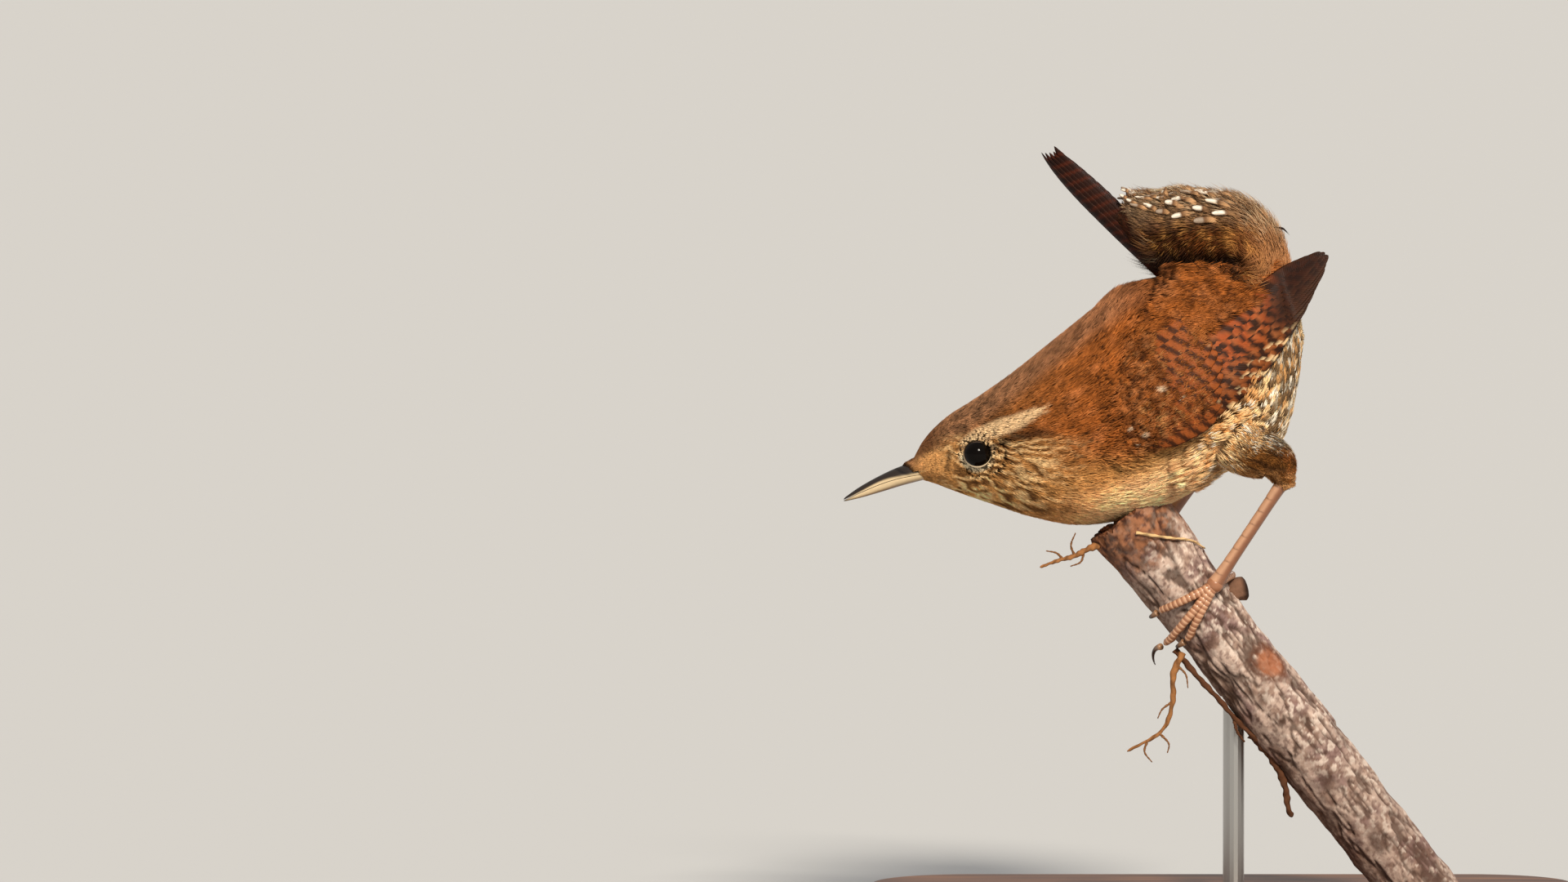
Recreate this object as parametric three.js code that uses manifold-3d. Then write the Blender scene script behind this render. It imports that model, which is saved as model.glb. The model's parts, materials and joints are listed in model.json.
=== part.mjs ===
// A life-size museum model of a wren. It leans forward on the broken end of a slanting branch, its bill low
// and its tail cocked forward over the back. The branch stands on a flat base, and one rod steadies it.
// Millimetres. The bird faces -X, +Z is up and its left side is towards -Y.
// The origin is the middle of the base's underside.
import * as THREE from "three";
import { mergeVertices } from "three/addons/utils/BufferGeometryUtils.js";
import Module from "manifold-3d";

const wasm = await Module();
wasm.setup();

// Driving dimensions
const GAP = 0.3;
const BASE = { length: 94, depth: 58, thickness: 6, corner: 14, bevel: 0.8 };
const ROD = { radius: 1.4, x: 1.2, height: 42, sides: 16 };
const EYE = { x: -32.8, z: 64.0, radius: 2.0, opening: 1.72, depth: 0.7, lid: 0.36, sides: 14 };
const TOE = { radius: 0.68, tipRadius: 0.5, sides: 6, steps: 7 };
const CLAW = {
  radius: 0.48,
  tipRadius: 0.12,
  bend: 2.2,
  turn: 1.75,
  hook: 0.55,
  arch: 0.35,
  sides: 5,
  steps: 5,
};
const SHANK = { radius: 0.78, jointRadius: 1.15, sides: 10 };

// The body from the bill's root to the vent. Each station gives the back's and the belly's point in the
// middle plane, as [x, z], and the half width there.
const BODY = [
  { back: [-41.2, 63.0], belly: [-40.1, 60.7], width: 1.7 },
  { back: [-39.5, 66.1], belly: [-38.0, 60.1], width: 3.8 },
  { back: [-36.6, 69.0], belly: [-34.7, 58.8], width: 5.4 },
  { back: [-32.8, 71.5], belly: [-30.4, 57.3], width: 6.8 },
  { back: [-28.0, 74.9], belly: [-25.2, 55.6], width: 8.6 },
  { back: [-22.6, 79.2], belly: [-19.0, 54.6], width: 10.8 },
  { back: [-16.6, 83.9], belly: [-11.6, 55.7], width: 12.5 },
  { back: [-11.5, 87.0], belly: [-4.9, 58.6], width: 13.0 },
  { back: [-5.6, 87.3], belly: [1.2, 62.8], width: 12.4 },
  { back: [0.2, 86.9], belly: [6.4, 65.0], width: 10.9 },
  { back: [4.4, 86.3], belly: [8.5, 69.0], width: 8.6 },
  { back: [7.4, 85.2], belly: [9.6, 74.4], width: 5.6 },
  { back: [9.2, 83.2], belly: [10.2, 79.0], width: 2.2 },
];
const BODY_RINGS = 25;
const BODY_SIDES = 24;
// Where the whole body is parted, counted along the stations above.
const NECK_FRONT = 3.9;
const NECK_BACK = 4.9;

// The rump and the vent's fluff turn up and forward from the back into the tail.
const RUMP = [
  { at: [3.4, 81.0], height: 4.4, width: 5.0 },
  { at: [3.9, 88.4], height: 4.5, width: 5.3 },
  { at: [1.0, 92.6], height: 4.8, width: 5.6 },
  { at: [-4.6, 93.7], height: 4.8, width: 5.3 },
  { at: [-9.6, 94.4], height: 4.1, width: 4.6 },
  { at: [-13.6, 96.4], height: 2.0, width: 3.2 },
];
const RUMP_RINGS = 13;
const RUMP_SIDES = 16;
const TAIL_PARTING = 2.3;

// The branch's middle line in the plane y = 0, as [x, z], and its radius there, from the broken end down.
const BRANCH = [
  { at: [-13.2, 56.3], radius: 5.9 },
  { at: [-8.6, 50.3], radius: 5.3 },
  { at: [-2.4, 42.3], radius: 4.9 },
  { at: [5.2, 32.6], radius: 5.1 },
  { at: [13.8, 21.7], radius: 4.9 },
  { at: [22.5, 10.6], radius: 4.85 },
  { at: [31.0, -0.3], radius: 4.9 },
];
const STUB = { distance: 17.0, degrees: -4, sunk: 2.5, length: 1.2, radius: 1.5, lean: [0.9, 0, -0.3] };
const BRANCH_RINGS = 18;
const BRANCH_SIDES = 18;

// The foot stands at a distance and an angle on the branch. For each toe: where it ends, counted along the
// branch from the foot and round it from the upper side, how far its end is lifted, its claw's size, and how
// far the claw hooks straight down instead of round the branch.
const FEET = {
  left: { distance: 14.4, degrees: 55, toes: [
    { name: "inner", along: -1.6, degrees: 140, lift: 0, claw: 1, droop: 0 },
    { name: "middle", along: 2.3, degrees: 158, lift: 1.7, claw: 1.2, droop: 0.85 },
    { name: "outer", along: 3.6, degrees: 136, lift: 0, claw: 1, droop: 0 },
    { name: "hind", along: 1.6, degrees: -82, lift: 0, claw: 1.1, droop: 0 },
  ] },
  right: { distance: 4.6, degrees: -62, toes: [
    { name: "inner", along: -0.6, degrees: -120, lift: 0, claw: 1, droop: 0 },
    { name: "middle", along: 2.6, degrees: -126, lift: 0, claw: 1, droop: 0 },
    { name: "outer", along: 5.4, degrees: -116, lift: 0, claw: 1, droop: 0 },
    { name: "hind", along: 5.4, degrees: -66, lift: 0, claw: 1, droop: 0 },
  ] },
};

// The middle line of each feathered thigh, from inside the body to the heel, and its radius along it.
const LEGS = {
  left: {
    thigh: [[0.5, -6.4, 67.2], [3.6, -7.0, 65.0], [6.6, -7.5, 63.5], [7.7, -7.8, 61.3]],
    radii: [4.4, 3.4, 2.4, 1.4],
  },
  right: {
    thigh: [[-7.5, 6.2, 67.5], [-5.0, 6.9, 65.4], [-3.2, 7.4, 64.0], [-1.8, 7.8, 62.7]],
    radii: [4.2, 3.2, 2.4, 1.5],
  },
};

// The bill in side view, from the root to the tip: the heights of its upper edge, the line of the mouth and
// its lower edge, and its half width.
const BILL = [
  { x: -40.0, culmen: 63.25, mouth: 61.35, gonys: 60.5, width: 1.75 },
  { x: -42.6, culmen: 62.45, mouth: 60.95, gonys: 59.85, width: 1.4 },
  { x: -45.2, culmen: 61.3, mouth: 60.15, gonys: 59.05, width: 1.0 },
  { x: -48.0, culmen: 59.75, mouth: 58.95, gonys: 58.25, width: 0.62 },
  { x: -50.2, culmen: 58.2, mouth: 57.95, gonys: 57.75, width: 0.25 },
];
const BILL_STEPS = 8;
const BILL_SIDES = 10;
// The nostril is a ball drawn out to a slit. length, width and height are its stretch.
const NOSTRIL = { x: -42.6, y: 1.3, z: 61.75, radius: 0.42, length: 2, width: 0.8, height: 0.55, turn: -22 };
const MOUTH_CORNER = { x: -39.6, z: 61.45, length: 2.6, width: 1.0, height: 0.26, turn: -9 };

// The wing's own flesh and small feathers under the tiers, as one sheet.
const WING_BLANK = [
  { upper: [-15.4, 72.5], lower: [-14.4, 65.2], thick: 0.9 },
  { upper: [-13.6, 79.0], lower: [-10.8, 63.8], thick: 1.7 },
  { upper: [-9.6, 84.2], lower: [-5.8, 65.9], thick: 1.2 },
  { upper: [-4.6, 86.6], lower: [-0.9, 69.8], thick: 0.8 },
  { upper: [1.0, 87.2], lower: [3.2, 75.2], thick: 0.6 },
  { upper: [5.6, 87.4], lower: [7.2, 81.6], thick: 0.5 },
];
const BLANK_ROWS = 8;
const BLANK_ACROSS = 5;
const BLANK_EDGE = 0.4;
const WING_LIFT = 0.3;
// The left wing is held a little higher than the right.
const WING_RISE = { left: 0.9, right: 0 };

// The sheet that a folded wing lies on: close to the side of the body, and carried on smoothly past its
// outline, out to one more station beyond the tips.
const WING_STATIONS = [...BODY, { back: [14.5, 92.0], belly: [13.5, 82.0], width: 2.0 }];
const SHEET_EDGE = 3.5;
const SHEET_SOFTNESS = 50;

// Tiers of the folded wing, from the flight feathers out. from and to are the first and the last feather of
// a tier, from the wing's lower edge up, each with its root and tip in side view. height is the distance
// from the sheet that the wing lies on.
const WING_TIERS = [
  { name: "flight feathers", places: [0, 0.3, 0.62, 0.86, 1], height: 0.35, width: 3.3, roll: 0.55,
    feathers: [
    { root: [-6.6, 66.2], tip: [7.0, 78.4] },
    { root: [-6.9, 67.2], tip: [9.2, 81.4] },
    { root: [-7.3, 68.3], tip: [11.2, 84.6] },
    { root: [-7.7, 69.4], tip: [12.5, 87.2] },
    { root: [-8.1, 70.5], tip: [13.2, 88.9] },
    { root: [-8.5, 71.6], tip: [13.3, 90.0] },
    { root: [-8.9, 72.8], tip: [12.1, 90.0] },
    { root: [-9.3, 74.0], tip: [10.6, 89.4] },
    { root: [-9.6, 75.2], tip: [9.0, 88.9] },
    { root: [-9.9, 76.4], tip: [7.1, 88.5] },
    { root: [-10.1, 77.7], tip: [5.1, 88.3] },
    { root: [-10.2, 79.0], tip: [3.0, 88.1] },
    { root: [-10.2, 80.4], tip: [0.7, 88.0] },
  ] },
  { name: "greater coverts", places: [0, 0.4, 0.8, 1], height: 0.8, width: 3.5, roll: 0.45,
    feathers: [
    { root: [-10.8, 65.2], tip: [-1.2, 69.8] },
    { root: [-11.3, 67.1], tip: [-0.3, 72.4] },
    { root: [-11.7, 69.1], tip: [0.0, 75.2] },
    { root: [-12.0, 71.1], tip: [-0.3, 78.0] },
    { root: [-12.1, 73.1], tip: [-1.2, 80.7] },
    { root: [-12.0, 75.1], tip: [-2.6, 83.1] },
    { root: [-11.6, 77.1], tip: [-4.5, 85.2] },
  ] },
  { name: "middle coverts", places: [0, 0.45, 0.8, 1], height: 1.2, width: 3.5, roll: 0.4,
    feathers: [
    { root: [-12.8, 64.8], tip: [-6.0, 66.8] },
    { root: [-13.4, 66.8], tip: [-5.8, 69.6] },
    { root: [-13.9, 69.0], tip: [-5.9, 72.4] },
    { root: [-14.1, 71.2], tip: [-6.4, 75.1] },
    { root: [-13.9, 73.4], tip: [-7.3, 77.7] },
  ] },
];
const VANE = { thickness: 0.5, tipThickness: 0.3, bow: 0.5 };

// The tail's feathers, from the middle pair to the outermost: length from the tail's root, and how far each
// lies inside the one before it. They hang down on both sides of the ridge like a tent.
const TAIL = {
  root: [-8.0, 86.6],
  rise: 44,
  radius: 2.6,
  lengths: [23.6, 23.2, 22.8, 22.5, 22.9, 20.9],
  first: 0.75,
  spacing: 0.62,
  inward: 0.17,
  halfWidth: 1.6,
  tipBend: 1.0,
};

// The longer feathers round the rump. length is counted in the rump's stations.
const COVERTS = {
  length: 1.45,
  width: 2.3,
  sink: 0.5,
  lift: 0.75,
  turn: 3,
  stagger: 19,
  rumpRows: [0.75, 1.45],
  rumpAngles: [-84, -42, 0, 42, 84],
  tailRows: [2.5, 3.2],
  tailAngles: [-76, -38, 0, 38, 76],
};

// The rootlets' lines, from the bark outwards.
const ROOTLETS = {
  lower: [[-5.6, -2.6, 38.0], [-6.8, -3.2, 35.2], [-6.9, -3.4, 31.6], [-8.2, -3.4, 27.9], [-12.9, -3.2, 25]],
  upper: [[-16.4, -1.8, 52.2], [-18, -2.4, 51.7], [-19.8, -2.9, 50.8], [-22, -3.2, 50.2], [-24.4, -3, 49.3]],
};
const ROOTLET_RADIUS = 0.55;

const Y_AXIS = new THREE.Vector3(0, 1, 0);
const Z_AXIS = new THREE.Vector3(0, 0, 1);

// The random draws start anew from these for each kind of feather.
const WING_SEED = 20261;
const TAIL_SEED = 4158;
const COVERT_SEED = 811;

// A repeatable draw between -1 and 1.
let drawState = WING_SEED;
function draw() {
  drawState = (drawState * 1103515245 + 12345) % 2147483648;
  return (drawState / 2147483648) * 2 - 1;
}

// Mesh helpers

// A closed solid from a three.js geometry, turned so that its faces point out.
function solidOf(geometry) {
  const plain = geometry.index ? geometry.toNonIndexed() : geometry.clone();
  plain.deleteAttribute("normal");
  plain.deleteAttribute("uv");
  const merged = mergeVertices(plain, 1e-4);
  const triVerts = new Uint32Array(merged.index.array);
  const make = () =>
    new wasm.Manifold(
      new wasm.Mesh({ numProp: 3, vertProperties: merged.attributes.position.array, triVerts }),
    );
  const first = make();
  if (first.volume() > 0) return first;
  for (let i = 0; i < triVerts.length; i += 3)
    [triVerts[i + 1], triVerts[i + 2]] = [triVerts[i + 2], triVerts[i + 1]];
  return make();
}

// The largest closed piece of a solid: a cut can leave scraps.
function largest(solid) {
  return solid.decompose().reduce((a, b) => (b.volume() > a.volume() ? b : a));
}

function join(solids) {
  return solids.reduce((a, b) => a.add(b));
}

function geometryOf(solid) {
  const mesh = solid.getMesh();
  const positions = new Float32Array(mesh.numVert * 3);
  for (let i = 0; i < mesh.numVert; i++)
    positions.set(mesh.vertProperties.subarray(i * mesh.numProp, i * mesh.numProp + 3), i * 3);
  const geometry = new THREE.BufferGeometry();
  geometry.setAttribute("position", new THREE.BufferAttribute(positions, 3));
  geometry.setIndex(new THREE.BufferAttribute(mesh.triVerts, 1));
  geometry.computeVertexNormals();
  return geometry;
}

// A skin over rings of points, with a fan to the middle of the first and last ring.
function skinOver(rings) {
  const sides = rings[0].length;
  const points = rings.flat();
  const faces = [];
  for (let r = 0; r + 1 < rings.length; r++)
    for (let i = 0; i < sides; i++) {
      const j = (i + 1) % sides;
      const [a, b, c, d] = [r * sides + i, r * sides + j, (r + 1) * sides + j, (r + 1) * sides + i];
      // The two broad faces of a four-sided vane are split along like diagonals.
      if (sides === 4 && i === 2) faces.push([a, b, d], [b, c, d]);
      else faces.push([a, b, c], [a, c, d]);
    }
  const middle = (ring) => ring.reduce((s, p) => s.clone().add(p)).divideScalar(ring.length);
  const first = points.push(middle(rings[0])) - 1;
  const last = points.push(middle(rings.at(-1))) - 1;
  const start = (rings.length - 1) * sides;
  for (let i = 0; i < sides; i++) {
    const j = (i + 1) % sides;
    faces.push([first, j, i], [last, start + i, start + j]);
  }
  const geometry = new THREE.BufferGeometry().setFromPoints(points);
  geometry.setIndex(faces.flat());
  return geometry;
}

// A smooth value through a list, at a place t counted in stations.
function smoothAt(values, t) {
  const last = values.length - 1;
  const i = Math.min(Math.floor(Math.max(t, 0)), last - 1);
  const f = t - i;
  const [p0, p1, p2, p3] = [Math.max(i - 1, 0), i, i + 1, Math.min(i + 2, last)].map((k) => values[k]);
  return (
    p1 + 0.5 * f * (p2 - p0 + f * (2 * p0 - 5 * p1 + 4 * p2 - p3 + f * (3 * (p1 - p2) + p3 - p0)))
  );
}

// A tube along a curve, with its radius as a function of the share of its length.
function tube(points, radiusAt, sides, steps) {
  const curve = new THREE.CatmullRomCurve3(points.map((p) => new THREE.Vector3(...p)));
  const frames = curve.computeFrenetFrames(steps, false);
  const rings = [];
  for (let k = 0; k <= steps; k++) {
    const at = curve.getPointAt(k / steps);
    rings.push(
      Array.from({ length: sides }, (_, i) => {
        const angle = (2 * Math.PI * i) / sides;
        return at
          .clone()
          .addScaledVector(frames.normals[k], radiusAt(k / steps) * Math.cos(angle))
          .addScaledVector(frames.binormals[k], radiusAt(k / steps) * Math.sin(angle));
      }),
    );
  }
  return solidOf(skinOver(rings));
}

// The body, whole and then parted

function bodyStation(t) {
  const read = (pick) => smoothAt(BODY.map(pick), t);
  return {
    back: new THREE.Vector3(read((s) => s.back[0]), 0, read((s) => s.back[1])),
    belly: new THREE.Vector3(read((s) => s.belly[0]), 0, read((s) => s.belly[1])),
    width: read((s) => s.width),
  };
}

// One ring of the body. grow makes it larger all round, to cut what lies against it.
function bodyRing(t, grow) {
  const { back, belly, width } = bodyStation(t);
  const middle = back.clone().add(belly).multiplyScalar(0.5);
  const up = back.clone().sub(belly).multiplyScalar(0.5);
  up.setLength(up.length() + grow);
  return Array.from({ length: BODY_SIDES }, (_, i) => {
    const angle = (2 * Math.PI * i) / BODY_SIDES;
    return middle
      .clone()
      .addScaledVector(up, Math.cos(angle))
      .addScaledVector(Y_AXIS, (width + grow) * Math.sin(angle));
  });
}

function wholeBody(grow = 0) {
  const last = BODY.length - 1;
  const rings = [];
  for (let k = 0; k < BODY_RINGS; k++) rings.push(bodyRing((last * k) / (BODY_RINGS - 1), grow));
  return solidOf(skinOver(rings));
}

// A block with one face on the body's ring at t, reaching forward or back from it.
function bodyBlock(t, direction, clearance) {
  const size = 120;
  const { back, belly } = bodyStation(t);
  const middle = back.clone().add(belly).multiplyScalar(0.5);
  const up = back.clone().sub(belly).normalize();
  const rear = new THREE.Vector3().crossVectors(Y_AXIS, up).normalize();
  const block = new THREE.BoxGeometry(size, size, size);
  block.applyMatrix4(new THREE.Matrix4().makeBasis(rear, Y_AXIS.clone().negate(), up));
  const centre = middle.addScaledVector(rear, direction * (size / 2 + clearance));
  block.translate(centre.x, centre.y, centre.z);
  return solidOf(block);
}

// The rump, from its own stations

function rumpStation(t) {
  const read = (pick, place = t) => smoothAt(RUMP.map(pick), place);
  const at = (place) => new THREE.Vector3(read((s) => s.at[0], place), 0, read((s) => s.at[1], place));
  const along = at(Math.min(t + 0.05, RUMP.length - 1)).sub(at(Math.max(t - 0.05, 0))).normalize();
  const up = new THREE.Vector3().crossVectors(along, Y_AXIS).normalize();
  return { at: at(t), along, up, height: read((s) => s.height), width: read((s) => s.width) };
}

function wholeRump(grow = 0) {
  const last = RUMP.length - 1;
  const rings = [];
  for (let k = 0; k < RUMP_RINGS; k++) {
    const { at, up, height, width } = rumpStation((last * k) / (RUMP_RINGS - 1));
    rings.push(
      Array.from({ length: RUMP_SIDES }, (_, i) => {
        const angle = (2 * Math.PI * i) / RUMP_SIDES;
        return at
          .clone()
          .addScaledVector(up, (height + grow) * Math.cos(angle))
          .addScaledVector(Y_AXIS, (width + grow) * Math.sin(angle));
      }),
    );
  }
  return solidOf(skinOver(rings));
}

function rumpBlock(t, direction, clearance) {
  const size = 60;
  const { at, along, up } = rumpStation(t);
  const block = new THREE.BoxGeometry(size, size, size);
  block.applyMatrix4(new THREE.Matrix4().makeBasis(along, Y_AXIS.clone().negate(), up));
  const centre = at.clone().addScaledVector(along, direction * (size / 2 + clearance));
  block.translate(centre.x, centre.y, centre.z);
  return solidOf(block);
}

// Places in side view

// Where a point of the side view lies among a list of stations: the station number, and its share of the
// way from the middle to the back, which is negative towards the belly.
function placeAt(stations, x, z) {
  const read = (pick, t) => smoothAt(stations.map(pick), t);
  const lineAt = (t) => {
    const back = [read((s) => s.back[0], t), read((s) => s.back[1], t)];
    const belly = [read((s) => s.belly[0], t), read((s) => s.belly[1], t)];
    const middle = [(back[0] + belly[0]) / 2, (back[1] + belly[1]) / 2];
    const up = [(back[0] - belly[0]) / 2, (back[1] - belly[1]) / 2];
    return { off: (x - middle[0]) * up[1] - (z - middle[1]) * up[0], middle, up };
  };
  let low = 0;
  let high = stations.length - 1;
  for (let k = 0; k < 30; k++) {
    const t = (low + high) / 2;
    if (lineAt(t).off > 0) low = t;
    else high = t;
  }
  const { middle, up } = lineAt(low);
  const share = ((x - middle[0]) * up[0] + (z - middle[1]) * up[1]) / (up[0] ** 2 + up[1] ** 2);
  return { share, width: read((s) => s.width, low) };
}

function halfWidthAt(x, z) {
  const { share, width } = placeAt(BODY, x, z);
  return width * Math.sqrt(Math.max(0, 1 - share ** 2));
}

// How far out the wing's sheet lies at a place in side view.
function sideAt(x, z) {
  const { share, width } = placeAt(WING_STATIONS, x, z);
  const square = width ** 2 * (1 - share ** 2);
  return Math.sqrt(0.5 * (square + Math.hypot(square, SHEET_SOFTNESS)) + SHEET_EDGE ** 2);
}

// The branch

const branchLine = new THREE.CatmullRomCurve3(BRANCH.map((b) => new THREE.Vector3(b.at[0], 0, b.at[1])));
const BRANCH_LENGTH = branchLine.getLength();

function branchRadius(distance) {
  const t = (distance / BRANCH_LENGTH) * (BRANCH.length - 1);
  return smoothAt(BRANCH.map((b) => b.radius), Math.min(t, BRANCH.length - 1));
}

// A point over the branch: distance down from its broken end, angle from its upper side towards the bird's
// left, and height over the bark.
function onBranch(distance, degrees, height) {
  const share = distance / BRANCH_LENGTH;
  const along = branchLine.getTangentAt(share);
  const upper = new THREE.Vector3().crossVectors(along, Y_AXIS).negate().normalize();
  if (upper.z < 0) upper.negate();
  const angle = THREE.MathUtils.degToRad(degrees);
  const reach = branchRadius(distance) + height;
  return branchLine
    .getPointAt(share)
    .addScaledVector(upper, reach * Math.cos(angle))
    .addScaledVector(Y_AXIS, -reach * Math.sin(angle));
}

// Knots and hollows of the bark, as a share of the radius.
function barkRelief(distance, angle) {
  return (
    0.018 * Math.sin(3 * angle + 0.4 * distance) +
    0.014 * Math.sin(0.9 * distance - 2 * angle) +
    0.012 * Math.sin(5 * angle - 0.25 * distance + 1)
  );
}

function branchSolid(grow = 0) {
  const rings = [];
  for (let k = 0; k < BRANCH_RINGS; k++) {
    const distance = (BRANCH_LENGTH * k) / (BRANCH_RINGS - 1);
    rings.push(
      Array.from({ length: BRANCH_SIDES }, (_, i) => {
        const angle = (2 * Math.PI * i) / BRANCH_SIDES;
        const relief = grow ? 0 : -Math.abs(barkRelief(distance, angle)) * branchRadius(distance);
        return onBranch(distance, THREE.MathUtils.radToDeg(angle), grow + relief);
      }),
    );
  }
  return solidOf(skinOver(rings));
}

function branchStub(grow = 0) {
  const from = onBranch(STUB.distance, STUB.degrees, -STUB.sunk);
  const to = onBranch(STUB.distance, STUB.degrees, STUB.length);
  const lean = new THREE.Vector3(...STUB.lean);
  const end = to.clone().add(lean.setLength(lean.length() + grow));
  const line = [from, from.clone().lerp(to, 0.6), end].map((p) => p.toArray());
  return tube(line, () => STUB.radius + grow, 9, 4);
}

// Legs, feet and claws

function footHub(foot) {
  return onBranch(foot.distance, foot.degrees, GAP + SHANK.jointRadius);
}

// A toe's line over the bark, and past its end the line that its claw follows.
function toePoint(foot, toe, share) {
  const bulge = TOE.radius + (TOE.tipRadius - TOE.radius) * Math.min(share, 1);
  const settle = Math.max(0, 1 - share * 5);
  const height = GAP + bulge + (SHANK.jointRadius - bulge) * settle + toe.lift * Math.max(share, 0) ** 2;
  return onBranch(
    foot.distance + toe.along * Math.min(share * 1.15, 1),
    foot.degrees + (toe.degrees - foot.degrees) * share,
    height,
  );
}

function toeSolid(foot, toe) {
  const shares = Array.from({ length: TOE.steps + 1 }, (_, k) => k / TOE.steps);
  const points = shares.map((share) => toePoint(foot, toe, share).toArray());
  const pads = (t) => TOE.radius + (TOE.tipRadius - TOE.radius) * t;
  return tube(points, pads, TOE.sides, TOE.steps);
}

function clawSolid(foot, toe) {
  const end = toePoint(foot, toe, 1);
  const before = toePoint(foot, toe, 0.96);
  const forward = end.clone().sub(before).normalize();
  const axis = branchLine.getPointAt((foot.distance + toe.along) / BRANCH_LENGTH);
  const inward = axis.clone().sub(end);
  inward.setLength(1 - toe.droop).addScaledVector(Z_AXIS, -toe.droop);
  inward.addScaledVector(forward, -inward.dot(forward)).normalize();
  const start = end.clone().addScaledVector(forward, GAP);
  const points = [0, 0.25, 0.5, 0.75, 1].map((t) => {
    const turn = t * CLAW.turn;
    const bend = CLAW.bend * toe.claw;
    return start
      .clone()
      .addScaledVector(forward, bend * Math.sin(turn))
      .addScaledVector(inward, CLAW.hook * bend * (1 - Math.cos(turn)) - CLAW.arch * Math.sin(Math.PI * t))
      .toArray();
  });
  return tube(points, (t) => CLAW.radius + (CLAW.tipRadius - CLAW.radius) * t, CLAW.sides, CLAW.steps);
}

function footSolid(foot) {
  const hub = new THREE.IcosahedronGeometry(SHANK.jointRadius, 1);
  const at = footHub(foot);
  hub.translate(at.x, at.y, at.z);
  return join([solidOf(hub), ...foot.toes.map((toe) => toeSolid(foot, toe))]);
}

function shankSolid(foot, top, grow = 0) {
  const low = footHub(foot);
  const high = new THREE.Vector3(...top);
  const up = high.clone().sub(low).normalize();
  const from = low.clone().addScaledVector(up, SHANK.jointRadius + GAP - grow);
  const radius = (t) => grow + SHANK.radius + (SHANK.jointRadius - SHANK.radius) * Math.abs(2 * t - 1) ** 4;
  const line = [from, from.clone().lerp(high, 0.5), high].map((p) => p.toArray());
  return tube(line, radius, SHANK.sides, 6);
}

function thighSolid(leg, grow = 0) {
  const { thigh, radii } = leg;
  return tube(thigh, (t) => smoothAt(radii, t * (radii.length - 1)) + grow, 12, 8);
}

// Head details

function eyeCentre(side) {
  return new THREE.Vector3(EYE.x, -side * (halfWidthAt(EYE.x, EYE.z) - EYE.depth), EYE.z);
}

function ball(centre, radius, detail) {
  const geometry = new THREE.SphereGeometry(radius, detail, Math.round(detail * 0.6));
  geometry.rotateX(Math.PI / 2);
  geometry.translate(centre.x, centre.y, centre.z);
  return solidOf(geometry);
}

function lidRing(side) {
  const ring = new THREE.TorusGeometry(EYE.opening + EYE.lid, EYE.lid, 5, 16);
  ring.rotateX(Math.PI / 2);
  ring.translate(EYE.x, -side * (halfWidthAt(EYE.x, EYE.z) + EYE.lid / 3), EYE.z);
  return solidOf(ring);
}

// Half of the bill: direction is 1 for the upper half and -1 for the lower.
function billHalf(direction) {
  const rings = [];
  for (let k = 0; k <= BILL_STEPS; k++) {
    const read = (pick) => smoothAt(BILL.map(pick), ((BILL.length - 1) * k) / BILL_STEPS);
    const [x, mouth, width] = [read((b) => b.x), read((b) => b.mouth), read((b) => b.width)];
    const edge = read((b) => (direction > 0 ? b.culmen : b.gonys));
    const flat = mouth + 0.5 * direction * Math.min(GAP, Math.abs(edge - mouth));
    const far = flat + direction * Math.max(direction * (edge - flat), GAP);
    rings.push(
      Array.from({ length: BILL_SIDES }, (_, i) => {
        const angle = (Math.PI * i) / (BILL_SIDES - 1);
        return new THREE.Vector3(x, -width * Math.cos(angle), flat + (far - flat) * Math.sin(angle));
      }),
    );
  }
  return solidOf(skinOver(rings));
}

// The line of the mouth, carried on into the feathers behind the bill.
function mouthCorner(side) {
  const { x, z, length, width, height, turn } = MOUTH_CORNER;
  const slit = new THREE.BoxGeometry(length, width, height);
  slit.rotateY(THREE.MathUtils.degToRad(turn));
  slit.translate(x, -side * halfWidthAt(x + 0.4, z), z);
  return solidOf(slit);
}

// The slit of a nostril, cut into the side of the upper bill.
function nostril(side) {
  const { x, y, z, radius, length, width, height, turn } = NOSTRIL;
  const slit = new THREE.SphereGeometry(radius, 8, 6);
  slit.scale(length, width, height);
  slit.rotateY(THREE.MathUtils.degToRad(turn));
  slit.translate(x, -side * y, z);
  return solidOf(slit);
}

// Feathers

// A vane over rows of four corners, from its root to its tip. across is half the width's direction at each
// row, and depth the thickness's direction.
function vane(rows) {
  return solidOf(
    skinOver(
      rows.map(({ at, across, depth }) => [
        at.clone().add(across).add(depth),
        at.clone().sub(across).add(depth),
        at.clone().sub(across),
        at.clone().add(across),
      ]),
    ),
  );
}

// A vane's share of its full width, from the root to the pointed round tip.
function vaneShape(share) {
  return share > 0.98 ? 0.16 : Math.min(0.62 + share * 0.9, 1, 0.42 + (1 - share) * 2.6);
}

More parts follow.
